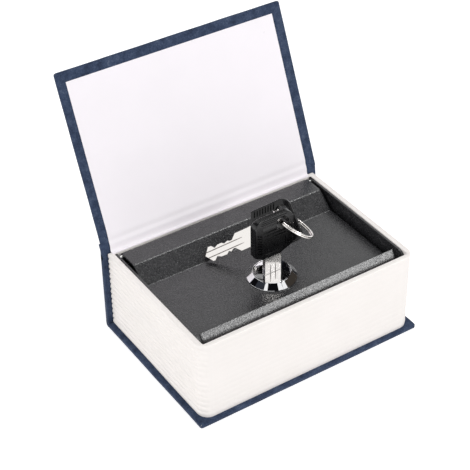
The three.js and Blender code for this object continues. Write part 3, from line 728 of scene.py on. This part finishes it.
def build_spine():
    """The spine's cloth and board as one rounded strip, and the crease at its foot."""
    bottom = BACK_THICK
    mid = (SPINE_FRONT + SPINE_REAR) / 2
    end_round = [(0.35, 0.06), (0.06, 0.35)]
    sections = [((mid + 0.3, bottom), (mid - 0.3, bottom))]
    sections += [((SPINE_REAR - y, bottom + z), (SPINE_FRONT + y, bottom + z)) for y, z in end_round]
    sections += [((SPINE_REAR, z), (SPINE_FRONT, z)) for z in spread(bottom + 0.8, SPINE_TOP - 0.8, 24)]
    sections += [((SPINE_REAR - y, SPINE_TOP - z), (SPINE_FRONT + y, SPINE_TOP - z))
                 for y, z in reversed(end_round)]
    sections.append(((mid + 0.3, SPINE_TOP), (mid - 0.3, SPINE_TOP)))
    spine = cloth_strip("spine_wrap", sections)
    attach(spine, "case", "bookcloth", "spine_cloth")
    rear = COVER_WIDTH / 2
    crease = [((SPINE_REAR - 0.02, 3.1), (SPINE_REAR - 0.35, 3.0)),
              ((SPINE_REAR, 2.4), (SPINE_REAR - 0.6, 2.45)),
              ((SPINE_REAR - 0.1, 1.5), (SPINE_REAR - 0.85, 1.9)),
              ((SPINE_REAR - 0.5, 0.7), (rear + 0.1, 1.5)),
              ((rear + 0.1, 0.2), (rear - 0.1, 1.1)),
              ((rear - 0.5, 0.06), (rear - 0.45, 0.4))]
    fold = cloth_strip("rear_crease", crease)
    attach(fold, "case", "bookcloth", "rear_crease_cloth")


def build_hinge():
    """The cloth across the hinge: a curved strip from the spine to the front cover."""
    rows = [(-0.1, -2.2, 0.15, -2.2), (0.03, -1.4, 0, -1.4), (0.05, -0.4, 0, -0.4),
            (0.02, 0.3, 0.08, 0.4), (-0.06, 0.95, 0.2, 1.2), (-0.06, 1.6, 0.33, 2.1)]
    sections = [((SPINE_REAR + outer_y, SPINE_TOP + outer_z), (SPINE_FRONT + inner_y, SPINE_TOP + inner_z))
                for outer_y, outer_z, inner_y, inner_z in rows]
    for y, out, up in [(y, 0.04, 0.03) for y in (1.2, 1.9, 2.7, 3.6)] + [(4.4, -0.12, -0.12)]:
        sections.append((on_cover(0, y, COVER_UNDER - out)[1:], on_cover(0, y, COVER_FACE + up)[1:]))
    hinge = cloth_strip("hinge_wrap", sections)
    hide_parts("hinge_cloth")
    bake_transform(hinge)


def paper_path():
    """The paper's middle line from the rear rim up the cover, as (y, z) points and shifts along X."""
    path = [(Vector((y, PAGE_TOP + z)), 0.0) for y, z in RIM_PATH]
    lifts = [*PAPER_LIFTS, *((y, 0.0) for y in spread(18, PAPER_TOP - 0.3, 18)), (PAPER_TOP, 0.0)]
    for y, lift in lifts:
        point = on_cover(0, y, COVER_FACE + PAPER / 2 + 0.02 + lift)
        path.append((Vector(point[1:]), COVER_SHIFT * min(1, y / 8)))
    return path


def build_paper():
    """One endpaper: down the cover, over the joint and on to the block's rear rim."""
    path = paper_path()
    points = [p for p, _ in path]
    normals = path_normals(points)
    half = PAPER / 2
    xs = [PAPER_LEFT, PAPER_LEFT + 0.1, *spread(PAPER_LEFT + 2, PAPER_RIGHT - 2, 30),
          PAPER_RIGHT - 0.1, PAPER_RIGHT]
    rings = []
    for x in xs:
        upper = []
        lower = []
        for (p, shift), n in zip(path, normals):
            middle = p + n * wobble(x, p.x, p.y, scale=30, amount=0.05)
            upper.append((x + shift, *(middle + n * half)))
            lower.append((x + shift, *(middle - n * half)))
        rings.append(upper + lower[::-1])
    paper = make("endpaper_sheet", *loft(rings), finishes["endpaper"], sharp=60)
    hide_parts("front_endpaper", "endpaper_tab")
    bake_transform(paper)


# Page block

def frame_outline(x, front, rear, radius):
    """The block's outline, from its right rear corner round by the front, with round corners."""
    small = PAGE_REAR_CORNER
    points = [(x, y) for y in spread(rear - small, front + radius, 14)[:-1]]
    points += arc((x - radius, front + radius), radius, 0, -90, 9)
    points += [(t, front) for t in spread(x - radius, -x + radius, 24)[1:-1]]
    points += arc((-x + radius, front + radius), radius, -90, -180, 9)
    points += [(-x, y) for y in spread(front + radius, rear - small, 14)[1:]]
    points += arc((-x + small, rear - small), small, 180, 90, 3)[1:]
    points += [(t, rear) for t in spread(-x + small, x - small, 24)[1:-1]]
    points += arc((x - small, rear - small), small, 90, 0, 3)[:-1]
    return points


def outward(x, y):
    """The way out of the block at a point of its outline."""
    if abs(x) <= PAGE_HALF - PAGE_CORNER:
        return Vector((0, math.copysign(1, y)))
    if y > PAGE_FRONT + PAGE_CORNER:
        return Vector((math.copysign(1, x), 0))
    corner = Vector((math.copysign(PAGE_HALF - PAGE_CORNER, x), PAGE_FRONT + PAGE_CORNER))
    return (Vector((x, y)) - corner).normalized()


def build_pages():
    """A moulded frame whose outside has ridges like page edges, a little uneven as in a real book."""
    pitch = (PAGE_TOP - PAGE_BOTTOM) / RIDGES
    layers = [(PAGE_BOTTOM + pitch * (ridge + step), RIDGE_DEPTH * draw)
              for ridge in range(RIDGES) for step, draw in RIDGE_SHAPE]
    rings = []
    for z, draw in layers:
        if z >= PAGE_TOP - PAGE_RIM - 0.1:
            break
        ring = []
        for x, y in frame_outline(PAGE_HALF, PAGE_FRONT, PAGE_REAR, PAGE_CORNER):
            out = outward(x, y)
            share = FRONT_RIDGES + (1 - FRONT_RIDGES) * out.x ** 2
            d = draw * share * (1 + wobble(x, y, z * 3, scale=22, amount=0.5))
            ring.append((x - out.x * d, y - out.y * d, z))
        rings.append(ring)
    for a in (0, 30, 60, 90):
        d = PAGE_RIM - PAGE_RIM * cosd(a)
        z = PAGE_TOP - PAGE_RIM + PAGE_RIM * sind(a)
        edge = frame_outline(PAGE_HALF - d, PAGE_FRONT + d, PAGE_REAR - d, PAGE_CORNER - d)
        rings.append([(x, y, z) for x, y in edge])
    inner_x = PAGE_HALF - PAGE_WALL
    inner_front = PAGE_FRONT + PAGE_WALL
    inner_rear = PAGE_REAR - PAGE_REAR_WALL
    for z, d in ((PAGE_TOP, 0.3), (PAGE_TOP - 0.1, 0.1), (PAGE_TOP - 0.3, 0.0),
                 (PAGE_TOP - 8, 0.0), (PAGE_TOP - 20, 0.0), (PAGE_BOTTOM, 0.0)):
        wall = frame_outline(inner_x + d, inner_front - d, inner_rear + d, 0.8 + d)
        rings.append([(x, y, z) for x, y in wall])
    block = make("page_ridges", *loft(rings, loop=True), finishes["page_plastic"], sharp=50)
    attach(block, "case", "page_plastic", "page_block")


# Lid and lock

def lid_path():
    """The middle line of the lid's sheet, from the lip's end to the roll round the rod."""
    half = LID_SHEET / 2
    run, rise = math.cos(LIP_ANGLE), math.sin(LIP_ANGLE)
    foot = Vector((LIP_OUTER_Y + half * (1 + run) / rise, PANEL_TOP - half))
    end = foot + Vector((run, rise)) * LIP_LENGTH
    slope = Vector((SLOPE_TOP_Y - SLOPE_FOOT_Y, LID_TOP - PANEL_TOP)).normalized()
    shift = half * (1 - slope.x) / slope.y
    points = [tuple(end), tuple(foot), (SLOPE_FOOT_Y + shift, PANEL_TOP - half),
              (SLOPE_TOP_Y + shift, LID_TOP - half), (ROD_Y - 0.5, LID_TOP - half)]
    roll = arc((ROD_Y, ROD_Z), ROLL_RADIUS - half, 90, -170, 22)
    return rounded_path(points, BEND_RADIUS) + [Vector(p) for p in roll]


def barrel_hole():
    """Cuts the lid's hole for the lock: round, with two flats."""
    rings = []
    for z in (PANEL_TOP - 3, PANEL_TOP + 3):
        rings.append([(x * HOLE_EASE, LOCK_Y + max(-BARREL_FLAT, min(BARREL_FLAT, y)) * HOLE_EASE, z)
                      for x, y in arc((0, 0), BARREL_RADIUS, 0, 354, 59)])
    return make("cutter", *loft(rings), finishes["hammered_paint"])


def build_lid():
    """One bent sheet: raised lip, sunk panel, slope, rear strip and the roll round the rod."""
    path = lid_path()
    normals = path_normals(path)
    xs = [(-LID_HALF, 0.16), (-LID_HALF + 0.06, 0.05), (-LID_HALF + 0.2, 0.0)]
    xs += [(x, 0.0) for x in spread(-LID_HALF + 1, LID_HALF - 1, 30)]
    xs += [(-x, draw) for x, draw in reversed(xs[:3])]
    rings = []
    for x, draw in xs:
        upper = []
        lower = []
        for i, (p, n) in enumerate(zip(path, normals)):
            t = LID_SHEET / 2 - draw
            if i in (0, len(path) - 1):
                t -= 0.14
            upper.append((x, *(p + n * t)))
            lower.append((x, *(p - n * t)))
        rings.append(upper + lower[::-1])
    lid = make("lid_sheet", *loft(rings), finishes["hammered_paint"], sharp=50)
    cut(lid, [barrel_hole()], sharp=30)
    attach(lid, "lid", "hammered_paint", "box_lid")


def lathe(name, profile, material, flat=None):
    """A turned form about the lock's axis, with two flats on its body where flat is given."""
    rings = []
    for r, z in profile:
        ring = []
        for i in range(LATHE_SIDES):
            a = 2 * math.pi * i / LATHE_SIDES
            dx, dy = r * math.cos(a), r * math.sin(a)
            if flat and z < PANEL_TOP - 0.01 and r > BARREL_BORE + 0.2:
                dy = max(-flat, min(flat, dy))
            ring.append((dx, LOCK_Y + dy, z))
        rings.append(ring)
    return make(name, *loft(rings, loop=True), material, sharp=8)


def build_barrel():
    """Bezel and threaded body of the lock, with two flats."""
    top = PANEL_TOP + BEZEL_HEIGHT
    bottom = PANEL_TOP - BARREL_LENGTH
    bore, radius = BARREL_BORE, BARREL_RADIUS
    root = BARREL_RADIUS - THREAD_DEPTH
    cap = BEZEL_RIM - BEZEL_RIM_WIDTH
    profile = [(bore, bottom + 0.2), (bore + 0.2, bottom), (radius - 0.5, bottom)]
    for i in range(int((BARREL_LENGTH - 3) / THREAD_PITCH)):
        z = bottom + 0.3 + i * THREAD_PITCH
        profile += [(root, z), (radius, z + 0.4), (radius, z + 0.55), (root, z + 0.9)]
    profile += [(root, PANEL_TOP - 1.2), (radius, PANEL_TOP - 0.9), (radius, PANEL_TOP),
                (BEZEL_RADIUS - 0.15, PANEL_TOP), (BEZEL_RADIUS, PANEL_TOP + 0.12),
                (BEZEL_RADIUS, PANEL_TOP + BEZEL_EDGE - 0.04)]
    for t in spread(0.02, 0.96, 8):
        r = BEZEL_RADIUS - (BEZEL_RADIUS - BEZEL_RIM) * t
        z = PANEL_TOP + BEZEL_EDGE + (BEZEL_HEIGHT - BEZEL_EDGE) * t
        profile.append((r, z))
    profile += [(BEZEL_RIM + 0.05, top - 0.05), (BEZEL_RIM - 0.06, top), (cap + 0.08, top),
                (cap, top - 0.08), (cap, PLUG_SEAT), (bore, PLUG_SEAT)]
    barrel = lathe("lock_bezel", profile, finishes["chrome"], flat=BARREL_FLAT)
    attach(barrel, "lid", "chrome", "lock_barrel")


def build_plug_face():
    """The plug's polished round face with its keyway, over the plug's own cap."""
    low = PLUG_STEP - 0.02
    profile = [(0, low), (CAP_RADIUS, low), (CAP_RADIUS, PLUG_FACE - 0.2),
               (CAP_RADIUS - 0.06, PLUG_FACE - 0.06), (CAP_RADIUS - 0.2, PLUG_FACE), (0, PLUG_FACE)]
    face = lathe("plug_face", profile, finishes["chrome"])
    half, wide = SHOULDER_HALF + 0.1, KEY_THICK / 2 + 0.12
    rings = [[(-half, LOCK_Y - wide, z), (half, LOCK_Y - wide, z), (half, LOCK_Y + wide, z),
              (-half, LOCK_Y + wide, z)] for z in (PLUG_STEP - 1, PLUG_FACE + 1)]
    cut(face, [make("cutter", *loft(rings), finishes["chrome"])])
    attach(face, "plug", "chrome")


# Keys

def key_place(body):
    """Where a key is: its own u, v and thickness as axes, with its tip as the origin."""
    along, across = Vector((0, 0, 1)), Vector((1, 0, 0))
    origin = Vector((0, LOCK_Y, KEY_TIP_Z))
    if body == "spare":
        turn = (Matrix.Rotation(SPARE_HEADING, 3, "Z") @ Matrix.Rotation(-SPARE_RISE, 3, "Y")
                @ Matrix.Rotation(SPARE_ROLL, 3, "X"))
        along, across = turn.col[0], turn.col[1]
        origin = SPARE_TIP
    through = along.cross(across)
    place = Matrix((along, across, through)).transposed().to_4x4()
    place.translation = origin * MM
    return place


def plate(name, points, z0, z1, material):
    """A flat piece with that outline, between two heights."""
    return make(name, *loft([[(u, v, z0) for u, v in points], [(u, v, z1) for u, v in points]]), material)


def rounded_box(u0, u1, v0, v1, z0, z1, radius):
    points = []
    for cu, cv, start in ((u1 - radius, v1 - radius, 0), (u0 + radius, v1 - radius, 90),
                          (u0 + radius, v0 + radius, 180), (u1 - radius, v0 + radius, 270)):
        points += arc((cu, cv), radius, start, start + 90, 4)
    return plate("cutter", points, z0, z1, finishes["key_plastic"])


def bar_along_v(profile, v0, v1):
    """A prism along v whose section is a list of (u, z) points."""
    rings = [[(u, v, z) for u, z in profile] for v in (v0, v1)]
    return make("cutter", *loft(rings), finishes["key_plastic"])


def head_outline():
    points = [(HEAD_START + HEAD_LOW_SLANT, -HEAD_HALF), (HEAD_START, -HEAD_LOW_FLAT),
              (HEAD_START, HEAD_HIGH_FLAT), (HEAD_START + HEAD_HIGH_SLANT, HEAD_HALF)]
    for side, start in ((1, 90), (-1, 0)):
        centre = (HEAD_END - HEAD_CORNER, side * (HEAD_HALF - HEAD_CORNER))
        points += arc(centre, HEAD_CORNER, start, start - 90, 10)
    return points


def joined(objects):
    """One object from several that don't touch each other."""
    work = bmesh.new()
    for obj in objects:
        work.from_mesh(obj.data)
    work.to_mesh(objects[0].data)
    work.free()
    for obj in objects[1:]:
        bpy.data.objects.remove(obj)
    return objects[0]


def end_wedges():
    """What the taper takes off both faces at the far end."""
    face = HEAD_THICK / 2
    start = HEAD_END - TAPER_RUN
    drop = TAPER_DEPTH * (TAPER_RUN + 1) / TAPER_RUN
    wedges = []
    for side in (-1, 1):
        profile = [(start, side * face), (HEAD_END + 1, side * (face - drop)),
                   (HEAD_END + 1, side * (face + 1)), (start, side * (face + 1))]
        wedges.append(bar_along_v(profile, -HEAD_HALF - 1, HEAD_HALF + 1))
    return joined(wedges)


def end_ribs():
    """Fine grooves along the far end and its taper."""
    ribs = []
    end_face = HEAD_THICK / 2 - TAPER_DEPTH
    bottom = HEAD_END - 0.28
    for z in RIB_GROOVES:
        profile = [(bottom, z - RIB_HALF), (HEAD_END + 1, z - 0.22),
                   (HEAD_END + 1, z + 0.22), (bottom, z + RIB_HALF)]
        ribs.append(bar_along_v(profile, -7, 7.2))
    for side in (-1, 1):
        for k in range(3):
            u = HEAD_END - 0.75 - RIB_PITCH * k
            surface = end_face + (HEAD_END - u) * TAPER_DEPTH / TAPER_RUN
            profile = [(u - RIB_HALF, side * (surface - 0.25)), (u - 0.2, side * (surface + 1)),
                       (u + 0.2, side * (surface + 1)), (u + RIB_HALF, side * (surface - 0.25))]
            ribs.append(bar_along_v(profile, -6.6 - 0.3 * k, 6.8 - 1.1 * k))
    return joined(ribs)


def face_cutters(side):
    """The relief of one face: a lit slot, grooves under it, a bare sunk panel and grip strokes."""
    face = side * HEAD_THICK / 2
    out = side * (HEAD_THICK / 2 + 1)
    profile = [(LIT_SLOT_FROM, face), (LIT_SLOT_TO - 0.15, face - side * LIT_SLOT_DEPTH),
               (LIT_SLOT_TO, face), (LIT_SLOT_TO, out), (LIT_SLOT_FROM, out)]
    cutters = [bar_along_v(profile, -6.4, 1.5)]
    low, high = sorted((face - side * FACE_GROOVE_DEPTH, out))
    for u, v_end in FACE_GROOVES:
        cutters.append(rounded_box(u - FACE_GROOVE_HALF, u + FACE_GROOVE_HALF, -5.9, v_end, low, high, 0.3))
    low, high = sorted((face - side * BARE_PANEL_DEPTH, out))
    cutters.append(rounded_box(*BARE_PANEL, low, high, 1.6))
    low, high = sorted((face - side * GRIP_DEPTH, out))
    for k in range(GRIP_STROKES):
        u = GRIP_START + GRIP_PITCH * k
        for edge in (-1, 1):
            points = [(u, edge * GRIP_FROM), (u + GRIP_WIDTH, edge * GRIP_FROM),
                      (u + GRIP_WIDTH + GRIP_SLANT, edge * GRIP_TO), (u + GRIP_SLANT, edge * GRIP_TO)]
            cutters.append(plate("cutter", points, low, high, finishes["key_plastic"]))
    return joined(cutters)


def build_head(body):
    """Moulded head: rounded edges, a thinner ribbed end, relief on both faces, and the ring's hole."""
    black = finishes["key_plastic"]
    t = HEAD_THICK / 2
    head = plate(f"{body}_head_moulded", head_outline(), -t, t, black)
    cut(head, [end_wedges()])
    bevel(head, 0.5, 3, 25)
    apply_modifiers(head)
    rings = []
    for z, grow in ((-t - 1, 1.5), (-t + 0.5, 0), (t - 0.5, 0), (t + 1, 1.5)):
        rings.append([(u, v, z) for u, v in arc((HOLE_U, HOLE_V), HOLE_RADIUS + grow, 0, 345, 23)])
    hole = make("cutter", *loft(rings), black)
    cut(head, [end_ribs(), face_cutters(-1), face_cutters(1), hole])
    head.matrix_world = key_place(body)
    attach(head, body, "key_plastic", f"{body}_head")


def blade_outline(body):
    """The blade's edge. The key in the lock has its shoulder down on the plug."""
    start = SHOULDER_START if body == "spare" else SEATED_SHOULDER
    lower = [(u, depth - BLADE_HALF) for u, depth in LOWER_CUTS if u < start - 0.5]
    upper = [(u, BLADE_HALF - depth) for u, depth in UPPER_CUTS if u < start - 0.5]
    lower += [(start, -SHOULDER_HALF), (HEAD_START + 1.2, -SHOULDER_HALF)]
    upper += [(start, SHOULDER_HALF), (HEAD_START + 1.2, SHOULDER_HALF)]
    return [(0, 0)] + lower + upper[::-1]


def groove_cutter(v, side):
    """Cuts one milled groove into a face of the blade: it runs out towards the head."""
    t = KEY_THICK / 2
    out = side * (t + 0.3)
    rings = []
    for u, depth in ((-1, GROOVE_DEPTH), (GROOVE_END - 4, GROOVE_DEPTH), (GROOVE_END - 1.5, 0.3),
                     (GROOVE_END, 0.02)):
        deep = side * (t - depth)
        wide = GROOVE_HALF * (0.4 + 0.6 * depth / GROOVE_DEPTH)
        rings.append([(u, v - wide * 0.45, deep), (u, v + wide * 0.45, deep),
                      (u, v + wide, side * t), (u, v + wide + 0.05, out),
                      (u, v - wide - 0.05, out), (u, v - wide, side * t)])
    return make("cutter", *loft(rings), finishes["key_nickel"])


def build_blade(body):
    """Nickel blade, cut on both edges, with two milled grooves on each face."""
    t = KEY_THICK / 2
    blade = plate(f"{body}_blade_cut", blade_outline(body), -t, t, finishes["key_nickel"])
    bevel(blade, 0.16, 2, 15)
    apply_modifiers(blade)
    grooves = [groove_cutter(v, side) for v in (-GROOVE_OFFSET, GROOVE_OFFSET) for side in (-1, 1)]
    cut(blade, [joined(grooves)])
    # the groove bottoms get the dark nickel that carries painted shade
    blade.data.materials.append(finishes["groove_shaded_nickel"])
    for face in blade.data.polygons:
        middle = face.center / MM
        if abs(middle.z) < t - 0.03 and abs(abs(middle.y) - GROOVE_OFFSET) < GROOVE_HALF:
            face.material_index = 1
    blade.matrix_world = key_place(body)
    attach(blade, body, "key_nickel", f"{body}_blade")


def hole_point(body):
    return key_place(body) @ Vector((HOLE_U * MM, HOLE_V * MM, 0)) / MM


def build_ring():
    """Two turns of round wire side by side, through the holes of both heads."""
    first, second = hole_point("key"), hole_point("spare")
    chord = second - first
    along = chord.normalized()
    out = (RING_LEAN - along * RING_LEAN.dot(along)).normalized()
    normal = along.cross(out)
    centre = first + chord / 2 + out * math.sqrt(RING_RADIUS ** 2 - chord.length_squared / 4)
    half_step = RING_STEP_ANGLE / 2
    rings = []
    for k, a in enumerate(spread(half_step, 720 - half_step, RING_STEPS)):
        through = min(max((a - (360 - half_step)) / RING_STEP_ANGLE, 0), 1)
        rise = RING_PITCH * (through * through * (3 - 2 * through) - 0.5)
        radial = -out * cosd(a) + along * sind(a)
        point = centre + radial * RING_RADIUS + normal * rise
        r = RING_WIRE / 2 * (0.82 if k in (0, RING_STEPS) else 1)
        rings.append([tuple(point + radial * math.cos(b) * r + normal * math.sin(b) * r)
                      for b in (2 * math.pi * (s + 0.5) / RING_SIDES for s in range(RING_SIDES))])
    ring = make("split_ring", *loft(rings), finishes["key_nickel"], sharp=50)
    attach(ring, "ring", "key_nickel", "key_ring")


# Studio

def look_matrix(azimuth, elevation, roll):
    """The camera's own axes: right, up and back."""
    right = direction(azimuth, 0)
    back = direction(azimuth - 90, elevation)
    up = back.cross(right)
    c, s = cosd(roll), sind(roll)
    return right * c + up * s, up * c - right * s, back


def build_camera():
    right, up, back = look_matrix(CAMERA_AZIMUTH, CAMERA_ELEVATION, CAMERA_ROLL)
    place = Matrix((right, up, back)).transposed().to_4x4()
    place.translation = (back * CAMERA_DISTANCE + right * CAMERA_RIGHT + up * CAMERA_UP) * MM
    data = bpy.data.cameras.new("camera")
    data.sensor_width = SENSOR
    data.lens = FOCAL * SENSOR / IMAGE
    data.clip_start = 0.01
    camera = bpy.data.objects.new("camera", data)
    camera.matrix_world = place
    bpy.context.scene.collection.objects.link(camera)
    bpy.context.scene.camera = camera


def direction(azimuth, elevation):
    flat = cosd(elevation)
    return Vector((cosd(azimuth) * flat, sind(azimuth) * flat, sind(elevation)))


def area_light(name, azimuth, elevation, distance, width, height, power, mirrored):
    """A soft light that faces the object, seen by mirror rays or not."""
    data = bpy.data.lights.new(name, "AREA")
    data.shape = "RECTANGLE"
    data.size = width
    data.size_y = height
    data.energy = power
    light = bpy.data.objects.new(name, data)
    middle = Vector((0, 0, 0.03))
    light.location = middle + direction(azimuth, elevation) * distance
    light.rotation_euler = (middle - light.location).to_track_quat("-Z", "Y").to_euler()
    light.visible_glossy = mirrored
    bpy.context.scene.collection.objects.link(light)


def background_switch(tree, plain, shown):
    """Camera, glossy and transmission rays get the shown shader, all others the plain one."""
    path = tree.nodes.new("ShaderNodeLightPath")
    seen = path.outputs["Is Camera Ray"]
    for ray in ("Is Glossy Ray", "Is Transmission Ray"):
        either = tree.nodes.new("ShaderNodeMath")
        either.operation = "MAXIMUM"
        tree.links.new(seen, either.inputs[0])
        tree.links.new(path.outputs[ray], either.inputs[1])
        seen = either.outputs[0]
    mix = tree.nodes.new("ShaderNodeMixShader")
    tree.links.new(seen, mix.inputs["Fac"])
    tree.links.new(plain, mix.inputs[1])
    tree.links.new(shown, mix.inputs[2])
    return mix.outputs[0]


def build_floor():
    """A pale floor. Its glow lifts it to white for the camera and in mirrors."""
    bpy.ops.mesh.primitive_plane_add(size=FLOOR_SIZE, location=(0, 0, -FLOOR_DROP))
    floor = bpy.context.object
    floor.name = "floor"
    pale = bpy.data.materials.new("floor")
    pale.use_nodes = True
    tree = pale.node_tree
    shader = tree.nodes["Principled BSDF"]
    shader.inputs["Base Color"].default_value = (*FLOOR_COLOR, 1)
    shader.inputs["Roughness"].default_value = 0.9
    glow = tree.nodes.new("ShaderNodeEmission")
    glow.inputs["Strength"].default_value = FLOOR_GLOW
    add = tree.nodes.new("ShaderNodeAddShader")
    tree.links.new(shader.outputs[0], add.inputs[0])
    tree.links.new(glow.outputs[0], add.inputs[1])
    target = tree.nodes["Material Output"].inputs["Surface"]
    tree.links.new(background_switch(tree, shader.outputs[0], add.outputs[0]), target)
    floor.data.materials.append(pale)


def build_studio():
    """White room, pale floor, soft lights and the dark cards that metal needs round it."""
    world = bpy.data.worlds.new("studio")
    bpy.context.scene.world = world
    world.use_nodes = True
    tree = world.node_tree
    tree.nodes.clear()
    plain = tree.nodes.new("ShaderNodeBackground")
    plain.inputs["Color"].default_value = (*ROOM_COLOR, 1)
    plain.inputs["Strength"].default_value = ROOM_LIGHT
    shown = tree.nodes.new("ShaderNodeBackground")
    shown.inputs["Color"].default_value = (1, 1, 1, 1)
    output = tree.nodes.new("ShaderNodeOutputWorld")
    tree.links.new(background_switch(tree, plain.outputs[0], shown.outputs[0]), output.inputs[0])
    build_floor()
    for light in LIGHTS:
        area_light(*light)
    for values in CARDS:
        card(*values)


def card(name, azimuth, elevation, wide, high, distance, color):
    """A dark card that only mirror rays see, and that faces the lock."""
    half_w = distance * math.tan(math.radians(wide / 2))
    half_h = distance * math.tan(math.radians(high / 2))
    mesh = bpy.data.meshes.new(name)
    mesh.from_pydata([(-half_w, -half_h, 0), (half_w, -half_h, 0), (half_w, half_h, 0),
                      (-half_w, half_h, 0)], [], [(0, 1, 2, 3)])
    material = bpy.data.materials.new(name)
    material.use_nodes = True
    tree = material.node_tree
    tree.nodes.remove(tree.nodes["Principled BSDF"])
    glow = tree.nodes.new("ShaderNodeEmission")
    glow.inputs["Color"].default_value = (*color, 1)
    tree.links.new(glow.outputs[0], tree.nodes["Material Output"].inputs["Surface"])
    mesh.materials.append(material)
    obj = bpy.data.objects.new(name, mesh)
    toward = direction(azimuth, elevation)
    obj.location = Vector((0, LOCK_Y, PANEL_TOP)) * MM + toward * distance
    obj.rotation_euler = (-toward).to_track_quat("Z", "Y").to_euler()
    for ray in ("camera", "diffuse", "shadow", "transmission"):
        setattr(obj, f"visible_{ray}", False)
    bpy.context.scene.collection.objects.link(obj)


dress_nodes()
build_camera()
build_studio()
build_covers()
build_spine()
build_hinge()
build_paper()
build_pages()
build_lid()
build_barrel()
build_plug_face()
build_head("key")
build_head("spare")
build_blade("key")
build_blade("spare")
build_ring()

bpy.context.scene.view_settings.view_transform = "Standard"
